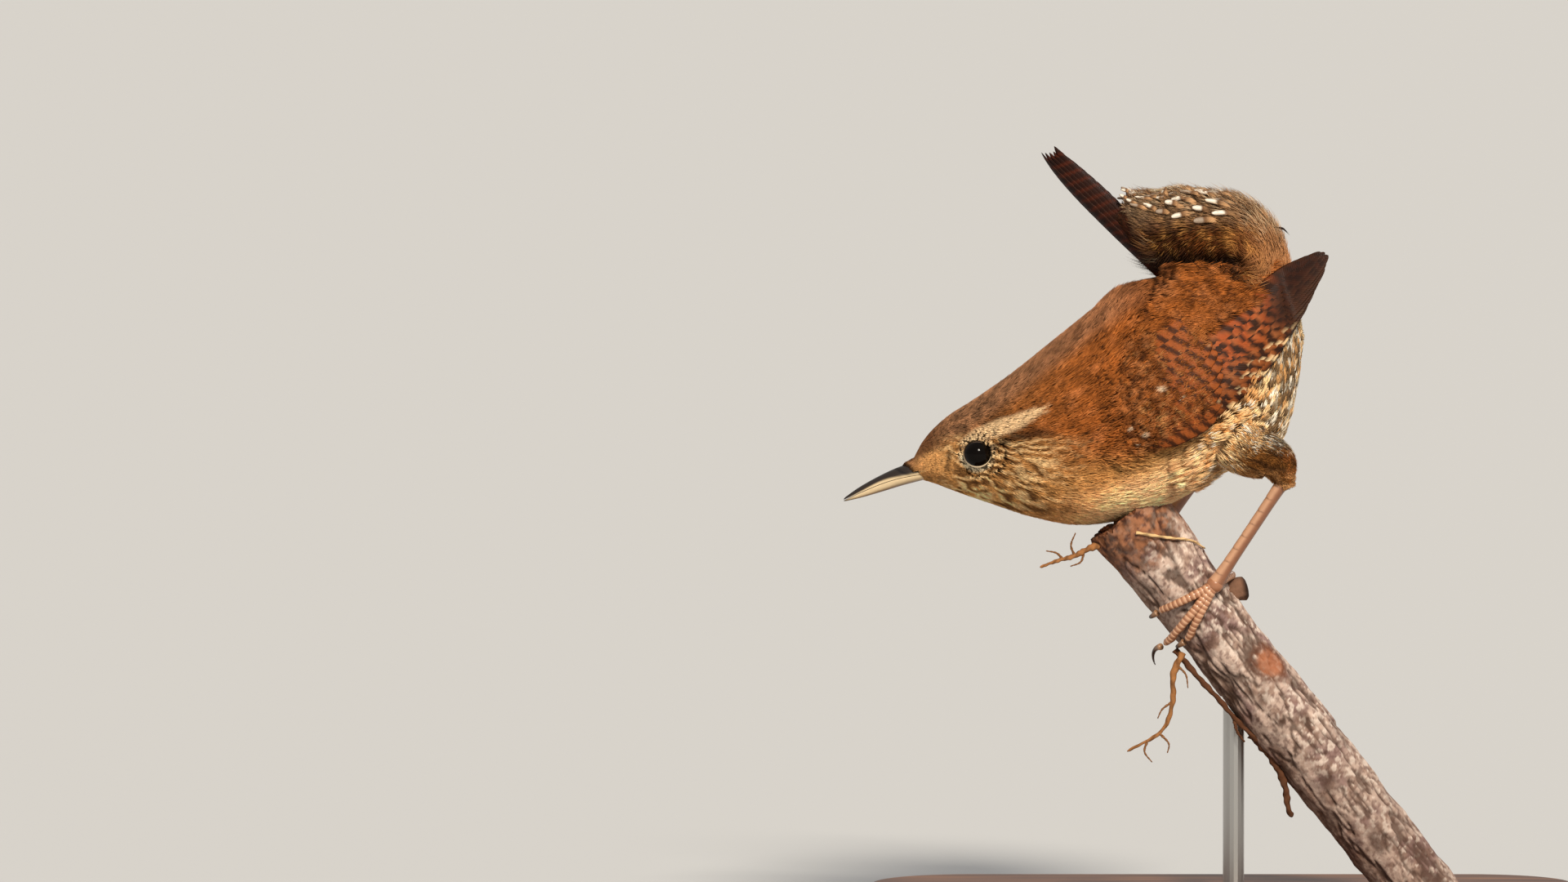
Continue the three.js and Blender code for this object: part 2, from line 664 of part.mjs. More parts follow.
// A wing feather in side view, laid on the wing's sheet with its lower edge over the next one below.
function wingFeather(side, rise, tier, feather) {
  const [rootX, rootZ] = feather.root;
  const along = new THREE.Vector2(feather.tip[0] - rootX, feather.tip[1] - rootZ);
  const length = along.length() + 0.25 * draw();
  along.normalize();
  const upward = new THREE.Vector2(-along.y, along.x);
  const rows = tier.places.map((share) => {
    const bow = -VANE.bow * Math.sin(Math.PI * share);
    const half = (tier.width / 2) * vaneShape(share);
    const centre = [rootX, rootZ].map(
      (c, i) => c + along.getComponent(i) * length * share + upward.getComponent(i) * bow,
    );
    const point = (edge, height) => {
      const x = centre[0] + upward.x * half * edge;
      const z = centre[1] + upward.y * half * edge + rise;
      return new THREE.Vector3(x, -side * (sideAt(x, z) + height), z);
    };
    const thick = VANE.thickness + (VANE.tipThickness - VANE.thickness) * share ** 3;
    const low = tier.height * (0.45 + 0.55 * Math.min(share * 3, 1));
    const upper = point(1, low);
    const lower = point(-1, low + tier.roll * vaneShape(share));
    return {
      at: upper.clone().add(lower).multiplyScalar(0.5),
      across: upper.clone().sub(lower).multiplyScalar(0.5),
      depth: new THREE.Vector3(0, -side * thick, 0),
    };
  });
  return vane(rows);
}

function wingBlank(side, rise) {
  const rings = [];
  for (let k = 0; k < BLANK_ROWS; k++) {
    const t = ((WING_BLANK.length - 1) * k) / (BLANK_ROWS - 1);
    const read = (pick) => smoothAt(WING_BLANK.map(pick), t);
    const thick = read((r) => r.thick);
    const upper = [read((r) => r.upper[0]), read((r) => r.upper[1])];
    const lower = [read((r) => r.lower[0]), read((r) => r.lower[1])];
    const outer = [];
    const inner = [];
    for (let i = 0; i < BLANK_ACROSS; i++) {
      const f = i / (BLANK_ACROSS - 1);
      const x = lower[0] + (upper[0] - lower[0]) * f;
      const z = lower[1] + (upper[1] - lower[1]) * f + rise;
      const y = sideAt(x, z);
      const depth = BLANK_EDGE + (thick - BLANK_EDGE) * Math.sin(Math.PI * f) ** 0.6;
      outer.push(new THREE.Vector3(x, -side * (y + WING_LIFT + depth), z));
      inner.push(new THREE.Vector3(x, -side * (y - BLANK_EDGE), z));
    }
    rings.push([...outer, ...inner.reverse()]);
  }
  return solidOf(skinOver(rings));
}

function wing(side, rise) {
  drawState = WING_SEED;
  const feathers = WING_TIERS.flatMap((tier) => tier.feathers.map((f) => wingFeather(side, rise, tier, f)));
  return join([wingBlank(side, rise), ...feathers]);
}

// The tail: on each side six vanes in a tent, the middle pair outermost, joined in a core at the root.
function tailFeather(side, index) {
  const rise = THREE.MathUtils.degToRad(TAIL.rise);
  const along = new THREE.Vector3(-Math.cos(rise), 0, Math.sin(rise));
  const under = new THREE.Vector3(Math.sin(rise), 0, Math.cos(rise));
  const radius = TAIL.radius - TAIL.inward * index;
  const middle = TAIL.first + TAIL.spacing * index;
  const length = TAIL.lengths[index] + 0.2 * draw();
  const onTent = (arc, share) => {
    const angle = arc / TAIL.radius;
    return new THREE.Vector3(TAIL.root[0], 0, TAIL.root[1])
      .addScaledVector(along, length * share)
      .addScaledVector(under, TAIL.radius - radius * Math.cos(angle) + TAIL.tipBend * share ** 6)
      .addScaledVector(Y_AXIS, -side * radius * Math.sin(angle));
  };
  return vane(
    [0, 0.5, 0.85, 1].map((share) => {
      const half = TAIL.halfWidth * vaneShape(share);
      const [a, b] = [onTent(middle - half, share), onTent(middle + half, share)];
      const inward = new THREE.Vector3().crossVectors(along, b.clone().sub(a)).normalize();
      const thick = VANE.thickness + (VANE.tipThickness - VANE.thickness) * share ** 4;
      return {
        at: a.clone().add(b).multiplyScalar(0.5),
        across: a.clone().sub(b).multiplyScalar(0.5),
        depth: inward.multiplyScalar(side * thick),
      };
    }),
  );
}

function tailFeathers() {
  drawState = TAIL_SEED;
  return join([1, -1].flatMap((side) => TAIL.lengths.map((_, index) => tailFeather(side, index))));
}

// A point over the rump. angle is counted from the tail's underside, which faces up and back here.
function onRump(t, angle, height) {
  const station = rumpStation(t);
  const turn = THREE.MathUtils.degToRad(angle);
  return station.at
    .addScaledVector(station.up, (station.height + height) * Math.cos(turn))
    .addScaledVector(Y_AXIS, -(station.width + height) * Math.sin(turn));
}

// One of the loose feathers round the rump, which lies from t towards the tail and lifts its tip.
function rumpFeather(t, angle) {
  const turn = angle + COVERTS.turn * draw();
  const length = COVERTS.length * (1 + 0.12 * draw());
  return vane(
    [0, 0.4, 0.75, 1].map((share) => {
      const place = t + length * share;
      const half = (COVERTS.width * vaneShape(share)) / 5;
      const height = -COVERTS.sink + (COVERTS.lift + COVERTS.sink) * share ** 0.8;
      const degrees = THREE.MathUtils.radToDeg(half);
      const [a, b] = [onRump(place, turn - degrees, height), onRump(place, turn + degrees, height)];
      const out = onRump(place, turn, height + 1).sub(onRump(place, turn, height)).normalize();
      return {
        at: a.clone().add(b).multiplyScalar(0.5),
        across: b.clone().sub(a).multiplyScalar(0.5),
        depth: out.multiplyScalar(-VANE.thickness),
      };
    }),
  );
}

// Tiers of these feathers between two places along the rump.
function rumpFeathers(places, angles) {
  const rows = places.map((t, row) => ({ t, shift: (row % 2) * COVERTS.stagger }));
  return join(rows.flatMap(({ t, shift }) => angles.map((angle) => rumpFeather(t, angle + shift))));
}

// The rootlets that hang from the branch
function rootlet(points) {
  return tube(points, (t) => ROOTLET_RADIUS * (1 - 0.55 * t ** 3), 6, 10);
}

// Everything over the lower side of the branch, to end the rod there.
function branchShadow() {
  const step = 1.2 * BRANCH[0].radius;
  return join([0, 1, 2, 3].map((k) => branchSolid(GAP).translate([0, 0, k * step])));
}

function standBase() {
  const { length, depth, thickness, corner, bevel } = BASE;
  const outline = new THREE.Shape();
  const [w, d, r] = [length / 2 - bevel, depth / 2 - bevel, corner - bevel];
  outline.moveTo(-w + r, -d);
  outline.lineTo(w - r, -d);
  outline.absarc(w - r, -d + r, r, -Math.PI / 2, 0);
  outline.absarc(w - r, d - r, r, 0, Math.PI / 2);
  outline.absarc(-w + r, d - r, r, Math.PI / 2, Math.PI);
  outline.absarc(-w + r, -d + r, r, Math.PI, 1.5 * Math.PI);
  const block = new THREE.ExtrudeGeometry(outline, {
    depth: thickness - 2 * bevel,
    bevelThickness: bevel,
    bevelSize: bevel,
    bevelSegments: 1,
    curveSegments: 6,
  });
  block.translate(0, 0, bevel);
  return solidOf(block);
}

// Assembly

const COLOURS = {
  plumage: { color: 0x8a5a33, roughness: 0.85 },
  tail: { color: 0x5a2f1a, roughness: 0.8 },
  horn: { color: 0x6b5a4c, roughness: 0.4 },
  eye: { color: 0x080605, roughness: 0.08 },
  leg: { color: 0xb07a5c, roughness: 0.55 },
  claw: { color: 0x4a3a30, roughness: 0.45 },
  bark: { color: 0x7b675a, roughness: 0.95 },
  wood: { color: 0x4a2f20, roughness: 0.5 },
  steel: { color: 0xb9b4a8, roughness: 0.3, metalness: 1 },
};

const wren = new THREE.Group();
wren.name = "wren";

function add(name, solid, look) {
  const mesh = new THREE.Mesh(geometryOf(largest(solid)), new THREE.MeshStandardMaterial(COLOURS[look]));
  mesh.name = name;
  wren.add(mesh);
}

const body = wholeBody();
const bodyGrown = wholeBody(GAP);
const rumpGrown = wholeRump(GAP + COVERTS.lift);
const thighsGrown = join(Object.values(LEGS).map((leg) => thighSolid(leg, GAP)));
const rump = wholeRump().subtract(bodyGrown);
const tailSide = rumpBlock(TAIL_PARTING, 1, GAP / 2);
const sockets = join([1, -1].map((side) => ball(eyeCentre(side), EYE.radius + GAP, EYE.sides)));
const lids = join([1, -1].map(lidRing));

const mouth = join([1, -1].map(mouthCorner));
const head = body.intersect(bodyBlock(NECK_FRONT, -1, GAP / 2)).add(lids);
add("head", head.subtract(sockets).subtract(mouth), "plumage");
const behindHead = body.intersect(bodyBlock(NECK_FRONT, 1, GAP / 2));
add("neck", behindHead.intersect(bodyBlock(NECK_BACK, -1, GAP / 2)), "plumage");
add("torso", body.intersect(bodyBlock(NECK_BACK, 1, GAP / 2)), "plumage");
drawState = COVERT_SEED;
const vent = rumpFeathers(COVERTS.rumpRows, COVERTS.rumpAngles);
const rumpWhole = rump.add(vent).subtract(bodyGrown);
add("rump", rumpWhole.intersect(rumpBlock(TAIL_PARTING, -1, GAP / 2)), "plumage");
const tailCoverts = rumpFeathers(COVERTS.tailRows, COVERTS.tailAngles);
const tailWhole = join([rump, tailFeathers(), tailCoverts]).subtract(bodyGrown);
add("tail", tailWhole.intersect(tailSide), "tail");

const headBlock = bodyBlock(0, -1, GAP);
const nostrils = join([1, -1].map(nostril));
add("bill_upper", billHalf(1).intersect(headBlock).subtract(nostrils), "horn");
add("bill_lower", billHalf(-1).intersect(headBlock), "horn");

const branch = branchSolid().add(branchStub());
const branchGrown = branchSolid(GAP).add(branchStub(GAP));
for (const [name, side] of [["left", 1], ["right", -1]]) {
  const leg = LEGS[name];
  const foot = FEET[name];
  const heel = leg.thigh.at(-1);
  add(`eye_${name}`, ball(eyeCentre(side), EYE.radius, EYE.sides), "eye");
  const clear = wing(side, WING_RISE[name]).subtract(bodyGrown).subtract(rumpGrown);
  add(`wing_${name}`, clear.subtract(thighsGrown), "plumage");
  add(`thigh_${name}`, thighSolid(leg).subtract(bodyGrown), "plumage");
  add(`shank_${name}`, shankSolid(foot, heel).subtract(thighsGrown).subtract(bodyGrown), "leg");
  add(`foot_${name}`, footSolid(foot).subtract(branchGrown).subtract(shankSolid(foot, heel, GAP)), "leg");
  for (const toe of foot.toes)
    add(`claw_${name}_${toe.name}`, clawSolid(foot, toe).subtract(branchGrown), "claw");
}

const ground = new THREE.BoxGeometry(2 * BASE.length, 2 * BASE.length, BASE.length);
ground.translate(0, 0, BASE.thickness + GAP - BASE.length / 2);
add("perch", branch.subtract(bodyGrown).subtract(thighsGrown).subtract(solidOf(ground)), "bark");
for (const [name, line] of Object.entries(ROOTLETS))
  add(`perch_rootlet_${name}`, rootlet(line).subtract(branchGrown), "bark");

add("stand_base", standBase(), "wood");

const rod = new THREE.CylinderGeometry(ROD.radius, ROD.radius, ROD.height, ROD.sides);
rod.rotateX(Math.PI / 2);
rod.translate(ROD.x, 0, BASE.thickness + GAP + ROD.height / 2);
add("stand_rod", solidOf(rod).subtract(branchShadow()), "steel");

export default wren;
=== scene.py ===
# %% [markdown]
# A museum model of a wren, at life size. It leans forward on the broken end of a slanting branch, and its
# short tail is cocked over the back. The solids of the model are the frame, and this script dresses them: one
# skin with a coat of small feathers, flight feathers built one by one, a horn bill, scaly legs and bark.

import bmesh
import bpy
import numpy as np
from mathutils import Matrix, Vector, noise
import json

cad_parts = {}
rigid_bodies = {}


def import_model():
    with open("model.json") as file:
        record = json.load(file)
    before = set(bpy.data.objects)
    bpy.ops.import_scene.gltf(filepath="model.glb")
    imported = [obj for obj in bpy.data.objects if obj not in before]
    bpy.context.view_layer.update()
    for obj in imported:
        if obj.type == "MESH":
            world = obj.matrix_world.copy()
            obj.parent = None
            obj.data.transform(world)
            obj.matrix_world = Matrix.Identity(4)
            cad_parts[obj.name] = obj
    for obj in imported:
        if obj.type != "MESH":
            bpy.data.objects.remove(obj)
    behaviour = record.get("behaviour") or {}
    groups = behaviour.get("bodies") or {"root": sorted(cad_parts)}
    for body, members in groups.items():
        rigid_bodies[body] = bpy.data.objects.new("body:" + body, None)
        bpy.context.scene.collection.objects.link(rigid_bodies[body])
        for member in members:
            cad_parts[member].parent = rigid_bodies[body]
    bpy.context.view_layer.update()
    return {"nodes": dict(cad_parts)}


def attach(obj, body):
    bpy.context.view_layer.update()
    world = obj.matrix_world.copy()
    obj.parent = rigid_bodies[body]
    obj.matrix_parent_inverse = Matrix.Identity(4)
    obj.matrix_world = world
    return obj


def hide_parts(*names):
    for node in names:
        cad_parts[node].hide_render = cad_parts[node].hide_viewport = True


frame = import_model()
nodes = frame["nodes"]
rng = np.random.default_rng(2026)
print("nodes in the frame:", len(nodes))

# %% [markdown]
# Sizes are worked out in millimetres, because a wren is small, and turned into metres at the very end. The
# camera looks at the bird's left side from slightly above. A marking is placed by "seen" coordinates: how far
# back it is, and how high it looks from that angle.

# %% Units and the view
MM = 0.001
TILT = np.radians(4.0)
FULL = 2 * np.pi


def seen(points):
    """Where points look to be from the side that they are on: back from the middle, and up."""
    up = points[:, 2] * np.cos(TILT) - np.abs(points[:, 1]) * np.sin(TILT)
    return points[:, 0], up


def smooth_at(values, t):
    """A smooth value through a row of stations, at a place counted in stations. It goes on past the ends."""
    v = np.asarray(values, float)
    t = np.asarray(t, float)
    last = len(v) - 1
    i = np.clip(np.floor(t), 0, last - 1).astype(int)
    f = np.clip(t - i, 0, 1)
    beyond = t - i - f
    if v.ndim > 1:
        f, beyond = f[..., None], beyond[..., None]
    p0, p1, p2, p3 = v[np.maximum(i - 1, 0)], v[i], v[i + 1], v[np.minimum(i + 2, last)]
    curve = p1 + 0.5 * f * (p2 - p0 + f * (2 * p0 - 5 * p1 + 4 * p2 - p3 + f * (3 * (p1 - p2) + p3 - p0)))
    return curve + beyond * (p2 - p1) / 2


def way_at(values, t):
    """The direction of a row of stations at a place counted in stations."""
    low = np.clip(np.asarray(t, float) - 0.04, 0, len(values) - 1.08)
    return unit(smooth_at(values, low + 0.08) - smooth_at(values, low))


def unit(vectors):
    """Vectors made one long."""
    return vectors / np.maximum(np.linalg.norm(vectors, axis=-1, keepdims=True), 1e-9)


def ease(low, high, value):
    """A soft step from 0 at low to 1 at high."""
    share = np.clip((np.asarray(value, float) - low) / (high - low), 0, 1)
    return share * share * (3 - 2 * share)


print("seen height of a point 10 mm out at 80 mm:", seen(np.array([[0, -10.0, 80.0]]))[1])

# %% [markdown]
# The camera stands three metres off with a long lens, so that near and far look the same size, as in a
# picture of a small shy bird. Its aim and its width of view put the bird right of the middle, over the lower
# corner that the branch runs into.

# %% Camera
AIM = Vector((-58.06, 0, 65.75)) * MM
DISTANCE = 3.0
VIEW_WIDTH = 206.45 * MM
SENSOR = 36.0


def add_object(name, data):
    """A new object in the scene."""
    made = bpy.data.objects.new(name, data)
    bpy.context.scene.collection.objects.link(made)
    return made


camera_data = bpy.data.cameras.new("camera")
camera_data.sensor_width = SENSOR
camera_data.lens = SENSOR * DISTANCE / VIEW_WIDTH
camera_data.clip_end = 50
camera = add_object("camera", camera_data)
camera.location = AIM + Vector((0, -np.cos(TILT), np.sin(TILT))) * DISTANCE
camera.rotation_euler = (np.pi / 2 - TILT, 0, 0)
bpy.context.scene.camera = camera
print("lens, mm:", round(camera_data.lens, 1))

# %% [markdown]
# Light is plain and soft: a broad warm key from the front and above, a weak cool one from behind that draws
# the outline of the fluff, and an even pale surround. The small helpers build every material: a plain shader,
# noise laid on the object's own coordinates, and bumps made from a height.

# %% Floor and lights
FLOOR_SIZE = 14.0
# Each lamp: where its light comes from, how wide it looks in degrees, its strength and its colour.
LAMPS = {
    "key": {"from": (0.22, -0.8, 0.62), "width": 12, "strength": 4.0, "colour": (1.0, 0.92, 0.79)},
    "rim": {"from": (0.55, 0.7, 0.75), "width": 20, "strength": 0.9, "colour": (1.0, 0.97, 0.93)},
}
SURROUND = {"colour": (1.0, 0.98, 0.96), "strength": 0.4}


def paint(name, colour, roughness, **sockets):
    """A plain shader with its own colour, to which a pattern may be added."""
    material = bpy.data.materials.new(name)
    material.use_nodes = True
    shader = material.node_tree.nodes["Principled BSDF"]
    shader.inputs["Base Color"].default_value = (*colour, 1)
    shader.inputs["Roughness"].default_value = roughness
    for socket, value in sockets.items():
        shader.inputs[socket.replace("_", " ")].default_value = value
    return material, material.node_tree, shader


def noise_on_object(tree, scale, detail=2.0, distortion=0.0, stretch=(1, 1, 1)):
    """Noise on the object's own coordinates, as a socket."""
    place = tree.nodes.new("ShaderNodeTexCoord")
    mapping = tree.nodes.new("ShaderNodeMapping")
    mapping.inputs["Scale"].default_value = stretch
    grain = tree.nodes.new("ShaderNodeTexNoise")
    for name, value in {"Scale": scale, "Detail": detail, "Distortion": distortion}.items():
        grain.inputs[name].default_value = value
    tree.links.new(place.outputs["Object"], mapping.inputs["Vector"])
    tree.links.new(mapping.outputs["Vector"], grain.inputs["Vector"])
    return grain.outputs["Fac"]


def add_bump(tree, height, strength, distance):
    """Bumps from a height's socket. Their distance is in millimetres."""
    bump = tree.nodes.new("ShaderNodeBump")
    bump.inputs["Strength"].default_value = strength
    bump.inputs["Distance"].default_value = distance * MM
    tree.links.new(height, bump.inputs["Height"])
    tree.links.new(bump.outputs["Normal"], tree.nodes["Principled BSDF"].inputs["Normal"])


floor_mesh = bpy.data.meshes.new("floor")
floor_form = bmesh.new()
bmesh.ops.create_grid(floor_form, x_segments=1, y_segments=1, size=FLOOR_SIZE / 2)
floor_form.to_mesh(floor_mesh)
floor_form.free()
floor = add_object("floor", floor_mesh)
floor_mesh.materials.append(paint("pale floor", (0.5, 0.5, 0.5), 0.9)[0])

for name, lamp in LAMPS.items():
    light = bpy.data.lights.new(name, "SUN")
    light.angle = np.radians(lamp["width"])
    light.energy = lamp["strength"]
    light.color = lamp["colour"]
    add_object(name, light).rotation_euler = Vector(lamp["from"]).to_track_quat("Z", "Y").to_euler()

world = bpy.data.worlds.new("studio")
world.use_nodes = True
world.node_tree.nodes["Background"].inputs["Color"].default_value = (*SURROUND["colour"], 1)
world.node_tree.nodes["Background"].inputs["Strength"].default_value = SURROUND["strength"]
bpy.context.scene.world = world
bpy.context.scene.view_settings.view_transform = "Standard"
print("lamps:", ", ".join(LAMPS))

# %% [markdown]
# The body is one drawn-out form. Its stations give the back, the belly and the half width from the bill to
# the vent, and a point of the skin is found by its place along them and its turn from the back towards the
# bird's left. The rump is a second form that turns up and forward into the tail.

# %% Body forms
# Each station: the back's x and z, the belly's x and z, and the half width.
BODY = [
    (-41.2, 63.0, -40.1, 60.7, 1.7),
    (-39.5, 66.1, -38.0, 60.1, 3.8),
    (-36.6, 69.0, -34.7, 58.8, 5.4),
    (-32.8, 71.5, -30.4, 57.3, 6.8),
    (-28.0, 74.9, -25.2, 55.6, 8.6),
    (-22.6, 79.2, -19.0, 54.6, 10.8),
    (-16.6, 83.9, -11.6, 55.7, 12.5),
    (-11.5, 87.0, -4.9, 58.6, 13.0),
    (-5.6, 87.3, 1.2, 62.8, 12.4),
    (0.2, 86.9, 6.4, 65.0, 10.9),
    (4.4, 86.3, 8.5, 69.0, 8.6),
    (7.4, 85.2, 9.6, 74.4, 5.6),
    (9.2, 83.2, 10.2, 79.0, 2.2),
]
# Each station: x and z of the middle line, the half height and the half width.
RUMP = [
    (3.4, 81.0, 4.4, 5.0),
    (3.9, 88.4, 4.5, 5.3),
    (1.0, 92.6, 4.8, 5.6),
    (-4.6, 93.7, 4.8, 5.3),
    (-9.6, 94.4, 4.1, 4.6),
    (-13.6, 96.4, 2.0, 3.2),
]


def on_body(t, turn, lift):
    """A point over the body: t in stations from the bill, turn from the back, and the height over it."""
    s = smooth_at(BODY, t)
    ring = smooth_at(BODY, np.clip(t, 0, len(BODY) - 1))
    half = (ring[..., 0:2] - ring[..., 2:4]) / 2
    reach = np.linalg.norm(half, axis=-1)
    stretch = np.cos(turn) * (reach + lift) / reach
    x = (s[..., 0] + s[..., 2]) / 2 + half[..., 0] * stretch
    z = (s[..., 1] + s[..., 3]) / 2 + half[..., 1] * stretch
    return np.stack([x, -(ring[..., 4] + lift) * np.sin(turn), z], -1)


def on_rump(t, turn, lift):
    """A point over the rump: t in stations from the back, and turn from the side that faces up and back."""
    s = smooth_at(RUMP, t)
    ring = smooth_at(RUMP, np.clip(t, 0, len(RUMP) - 1))
    along = way_at(np.array(RUMP)[:, 0:2], t)
    rise = (ring[..., 2] + lift) * np.cos(turn)
    x = s[..., 0] + along[..., 1] * rise
    z = s[..., 1] - along[..., 0] * rise
    return np.stack([x, -(ring[..., 3] + lift) * np.sin(turn), z], -1)


print("body's middle ring:", on_body(np.full(8, 6.0), np.arange(8) * np.pi / 4, 0).mean(0).round(1))
print("rump's middle ring:", on_rump(np.full(8, 2.0), np.arange(8) * np.pi / 4, 0).mean(0).round(1))

# %% [markdown]
# Each thigh is a feathered sleeve round a line from inside the body to the heel, and a folded wing lies on a
# sheet close to the side of the body that runs on past its outline to the wing's tip. The sheet's distance
# from the middle plane is worked out once on a fine net of side-view places, and read from that net.

# %% Thighs and the wing's sheet
THIGHS = {
    "left": {
        "line": [(0.5, -6.4, 67.2), (3.6, -7.0, 65.0), (6.6, -7.5, 63.5), (7.7, -7.8, 61.3)],
        "radii": [4.4, 3.4, 2.4, 1.4],
    },
    "right": {
        "line": [(-7.5, 6.2, 67.5), (-5.0, 6.9, 65.4), (-3.2, 7.4, 64.0), (-1.8, 7.8, 62.7)],
        "radii": [4.2, 3.2, 2.4, 1.5],
    },
}
SIDES = {"left": 1, "right": -1}
WING_RISE = {"left": 0.9, "right": 0.0}
SHEET_EDGE = 3.5
SHEET_SOFTNESS = 50
NET_STEP = 0.25
NET_X = np.arange(-20, 17, NET_STEP)
NET_Z = np.arange(58, 98, NET_STEP)


def round_line(points, radii, share, turn, lift):
    """A point over a round form along a line: share of the line, turn about it, height over it."""
    line = np.asarray(points, float)
    t = np.asarray(share) * (len(line) - 1)
    middle = smooth_at(line, t)
    along = way_at(line, t)
    first = unit(np.cross(along, np.array([0.0, 1.0, 0.0])))
    second = np.cross(along, first)
    radius = np.maximum(smooth_at(radii, share * (len(radii) - 1)), 0.6) + lift
    spoke = np.cos(turn)[..., None] * first + np.sin(turn)[..., None] * second
    return middle + radius[..., None] * spoke


def on_thigh(name):
    """The surface of one thigh, as a function like the other forms."""
    thigh = THIGHS[name]
    return lambda t, turn, lift: round_line(thigh["line"], thigh["radii"], t, turn, lift)


def ring_through(stations, x, z, halvings=24):
    """The ring of a body-like form that passes through places in side view, found by halving.

    The result is the ring's half width, and how high the place is in it, from -1 to 1.
    """
    low, high = np.zeros_like(x), np.full_like(x, len(stations) - 1.0)
    for _ in range(halvings):
        t = (low + high) / 2
        s = smooth_at(stations, t)
        half = (s[..., 0:2] - s[..., 2:4]) / 2
        right, rise = x - (s[..., 0] + s[..., 2]) / 2, z - (s[..., 1] + s[..., 3]) / 2
        ahead = right * half[..., 1] - rise * half[..., 0] > 0
        low, high = np.where(ahead, t, low), np.where(ahead, high, t)
    return s[..., 4], (right * half[..., 0] + rise * half[..., 1]) / (half**2).sum(-1)


def sheet_net():
    """The wing sheet's distance from the middle plane over the net."""
    x, z = np.meshgrid(NET_X, NET_Z, indexing="ij")
    half_width, share = ring_through(np.array([*BODY, (14.5, 92.0, 13.5, 82.0, 2.0)]), x, z)
    square = half_width**2 * (1 - share**2)
    return np.sqrt(0.5 * (square + np.hypot(square, SHEET_SOFTNESS)) + SHEET_EDGE**2)


NET = sheet_net()


def sheet_at(x, z):
    """The sheet's distance from the middle plane at places in side view."""
    u = np.clip((x - NET_X[0]) / NET_STEP, 0, len(NET_X) - 1.001)
    v = np.clip((z - NET_Z[0]) / NET_STEP, 0, len(NET_Z) - 1.001)
    i, j = u.astype(int), v.astype(int)
    f, g = u - i, v - j
    low = NET[i, j] * (1 - f) + NET[i + 1, j] * f
    high = NET[i, j + 1] * (1 - f) + NET[i + 1, j + 1] * f
    return low * (1 - g) + high * g


def on_wing(name):
    """The wing's sheet as a surface: back from the middle, up, and the height over the sheet."""
    side, rise = SIDES[name], WING_RISE[name]
    return lambda x, z, lift: np.stack([x, -side * (sheet_at(x, z + rise) + lift), z + rise], -1)


print("sheet beside the middle of the wing:", sheet_at(np.array([0.0]), np.array([78.0])).round(2))

# %% [markdown]
# Markings are worked out point by point from a few named tones, so that the skin and every barb that lies on
# it agree. The tones are written as screen colours, which are easy to judge by eye, and turned into the
# linear light that Blender mixes. Soft lines in side view place the brow, the eye stripe and the edge between
# the brown of the back and the buff below.

# %% Tones
def tone(red, green, blue):
    """A screen colour from 0 to 255, as linear light."""
    c = np.array([red, green, blue]) / 255
    return np.where(c <= 0.04045, c / 12.92, ((c + 0.055) / 1.055) ** 2.4)


UMBER = tone(124, 78, 38)
RUFOUS = tone(150, 84, 34)
RUST = tone(152, 70, 30)
CINNAMON = tone(178, 122, 64)
BUFF = tone(216, 162, 96)
CREAM = tone(244, 208, 156)
WHITE = tone(248, 238, 220)
ASH = tone(176, 156, 124)
SOOT = tone(34, 18, 10)
DUSK = tone(70, 46, 34)
PEAT = tone(62, 28, 12)

# Lines in side view, as x, height and half width.
BROW = [(-34.5, 65.5, 0.3), (-32.6, 66.5, 0.75), (-31.0, 66.9, 1.0), (-29.4, 67.5, 1.05),
        (-27.8, 68.0, 0.95), (-26.3, 68.7, 0.8), (-24.9, 69.4, 0.55), (-23.4, 70.1, 0.2)]
EYE_STRIPE = [(-30.9, 64.6, 0.3), (-29.4, 65.4, 0.6), (-27.4, 66.2, 0.75), (-25.0, 66.7, 0.6),
              (-22.4, 66.6, 0.2)]
LORE_SPOT = [(-36.3, 64.0, 0.25), (-36.5, 62.8, 0.25), (-36.6, 61.8, 0.2)]
GAPE = [(-41.0, 61.35, 0.16), (-39.2, 61.75, 0.06)]
# Two dark strands where the back's feathers part over the wing. Between them the width is nothing.
STRANDS = [(-10.8, 79.9, 0.12), (-7, 79.5, 0.2), (-2.2, 78.3, 0.12), (-2.0, 81.6, 0.01), (1, 81.4, 0.15),
           (4.3, 80.6, 0.1)]
EYE = {"x": -32.65, "seen": 63.95, "radius": 1.62}
# The edge between brown above and buff below: x, height, and how soft it is.
BUFF_EDGE = [(-42, 61.6, 1.0), (-37, 60.6, 1.6), (-31, 60.5, 3.0), (-24, 61.0, 5.0), (-17, 62.0, 4.5),
             (-11, 63.4, 2.0), (-6.5, 65.4, 1.0), (-2, 67.6, 0.8), (2, 71.4, 0.8), (6.0, 77.0, 0.8),
             (10, 83.4, 0.8), (13, 88, 0.8)]
# How much painted light brightens the belly, in red, green and blue.
BELLY_PAINTED_LIGHT = np.array([0.36, 0.2, 0.22])


def near_line(line, x, up, softness):
    """How far points are on a line of given half widths: 1 on it, fading to 0 beside it."""
    best = np.zeros_like(x)
    for (x0, z0, w0), (x1, z1, w1) in zip(line, line[1:]):
        run, rise = x1 - x0, z1 - z0
        share = np.clip(((x - x0) * run + (up - z0) * rise) / (run**2 + rise**2), 0, 1)
        away = np.hypot(x - x0 - share * run, up - z0 - share * rise)
        best = np.maximum(best, 1 - ease(-softness, softness, away - w0 - (w1 - w0) * share))
    return best


def mix(colour, other, share):
    """Colours mixed with another by a share for each point."""
    return colour + (other - colour) * np.asarray(share)[:, None]


def layered(colour, *layers):
    """A colour with others laid over it in turn, each given with its share at each point."""
    for other, share in layers:
        colour = mix(colour, other, share)
    return colour


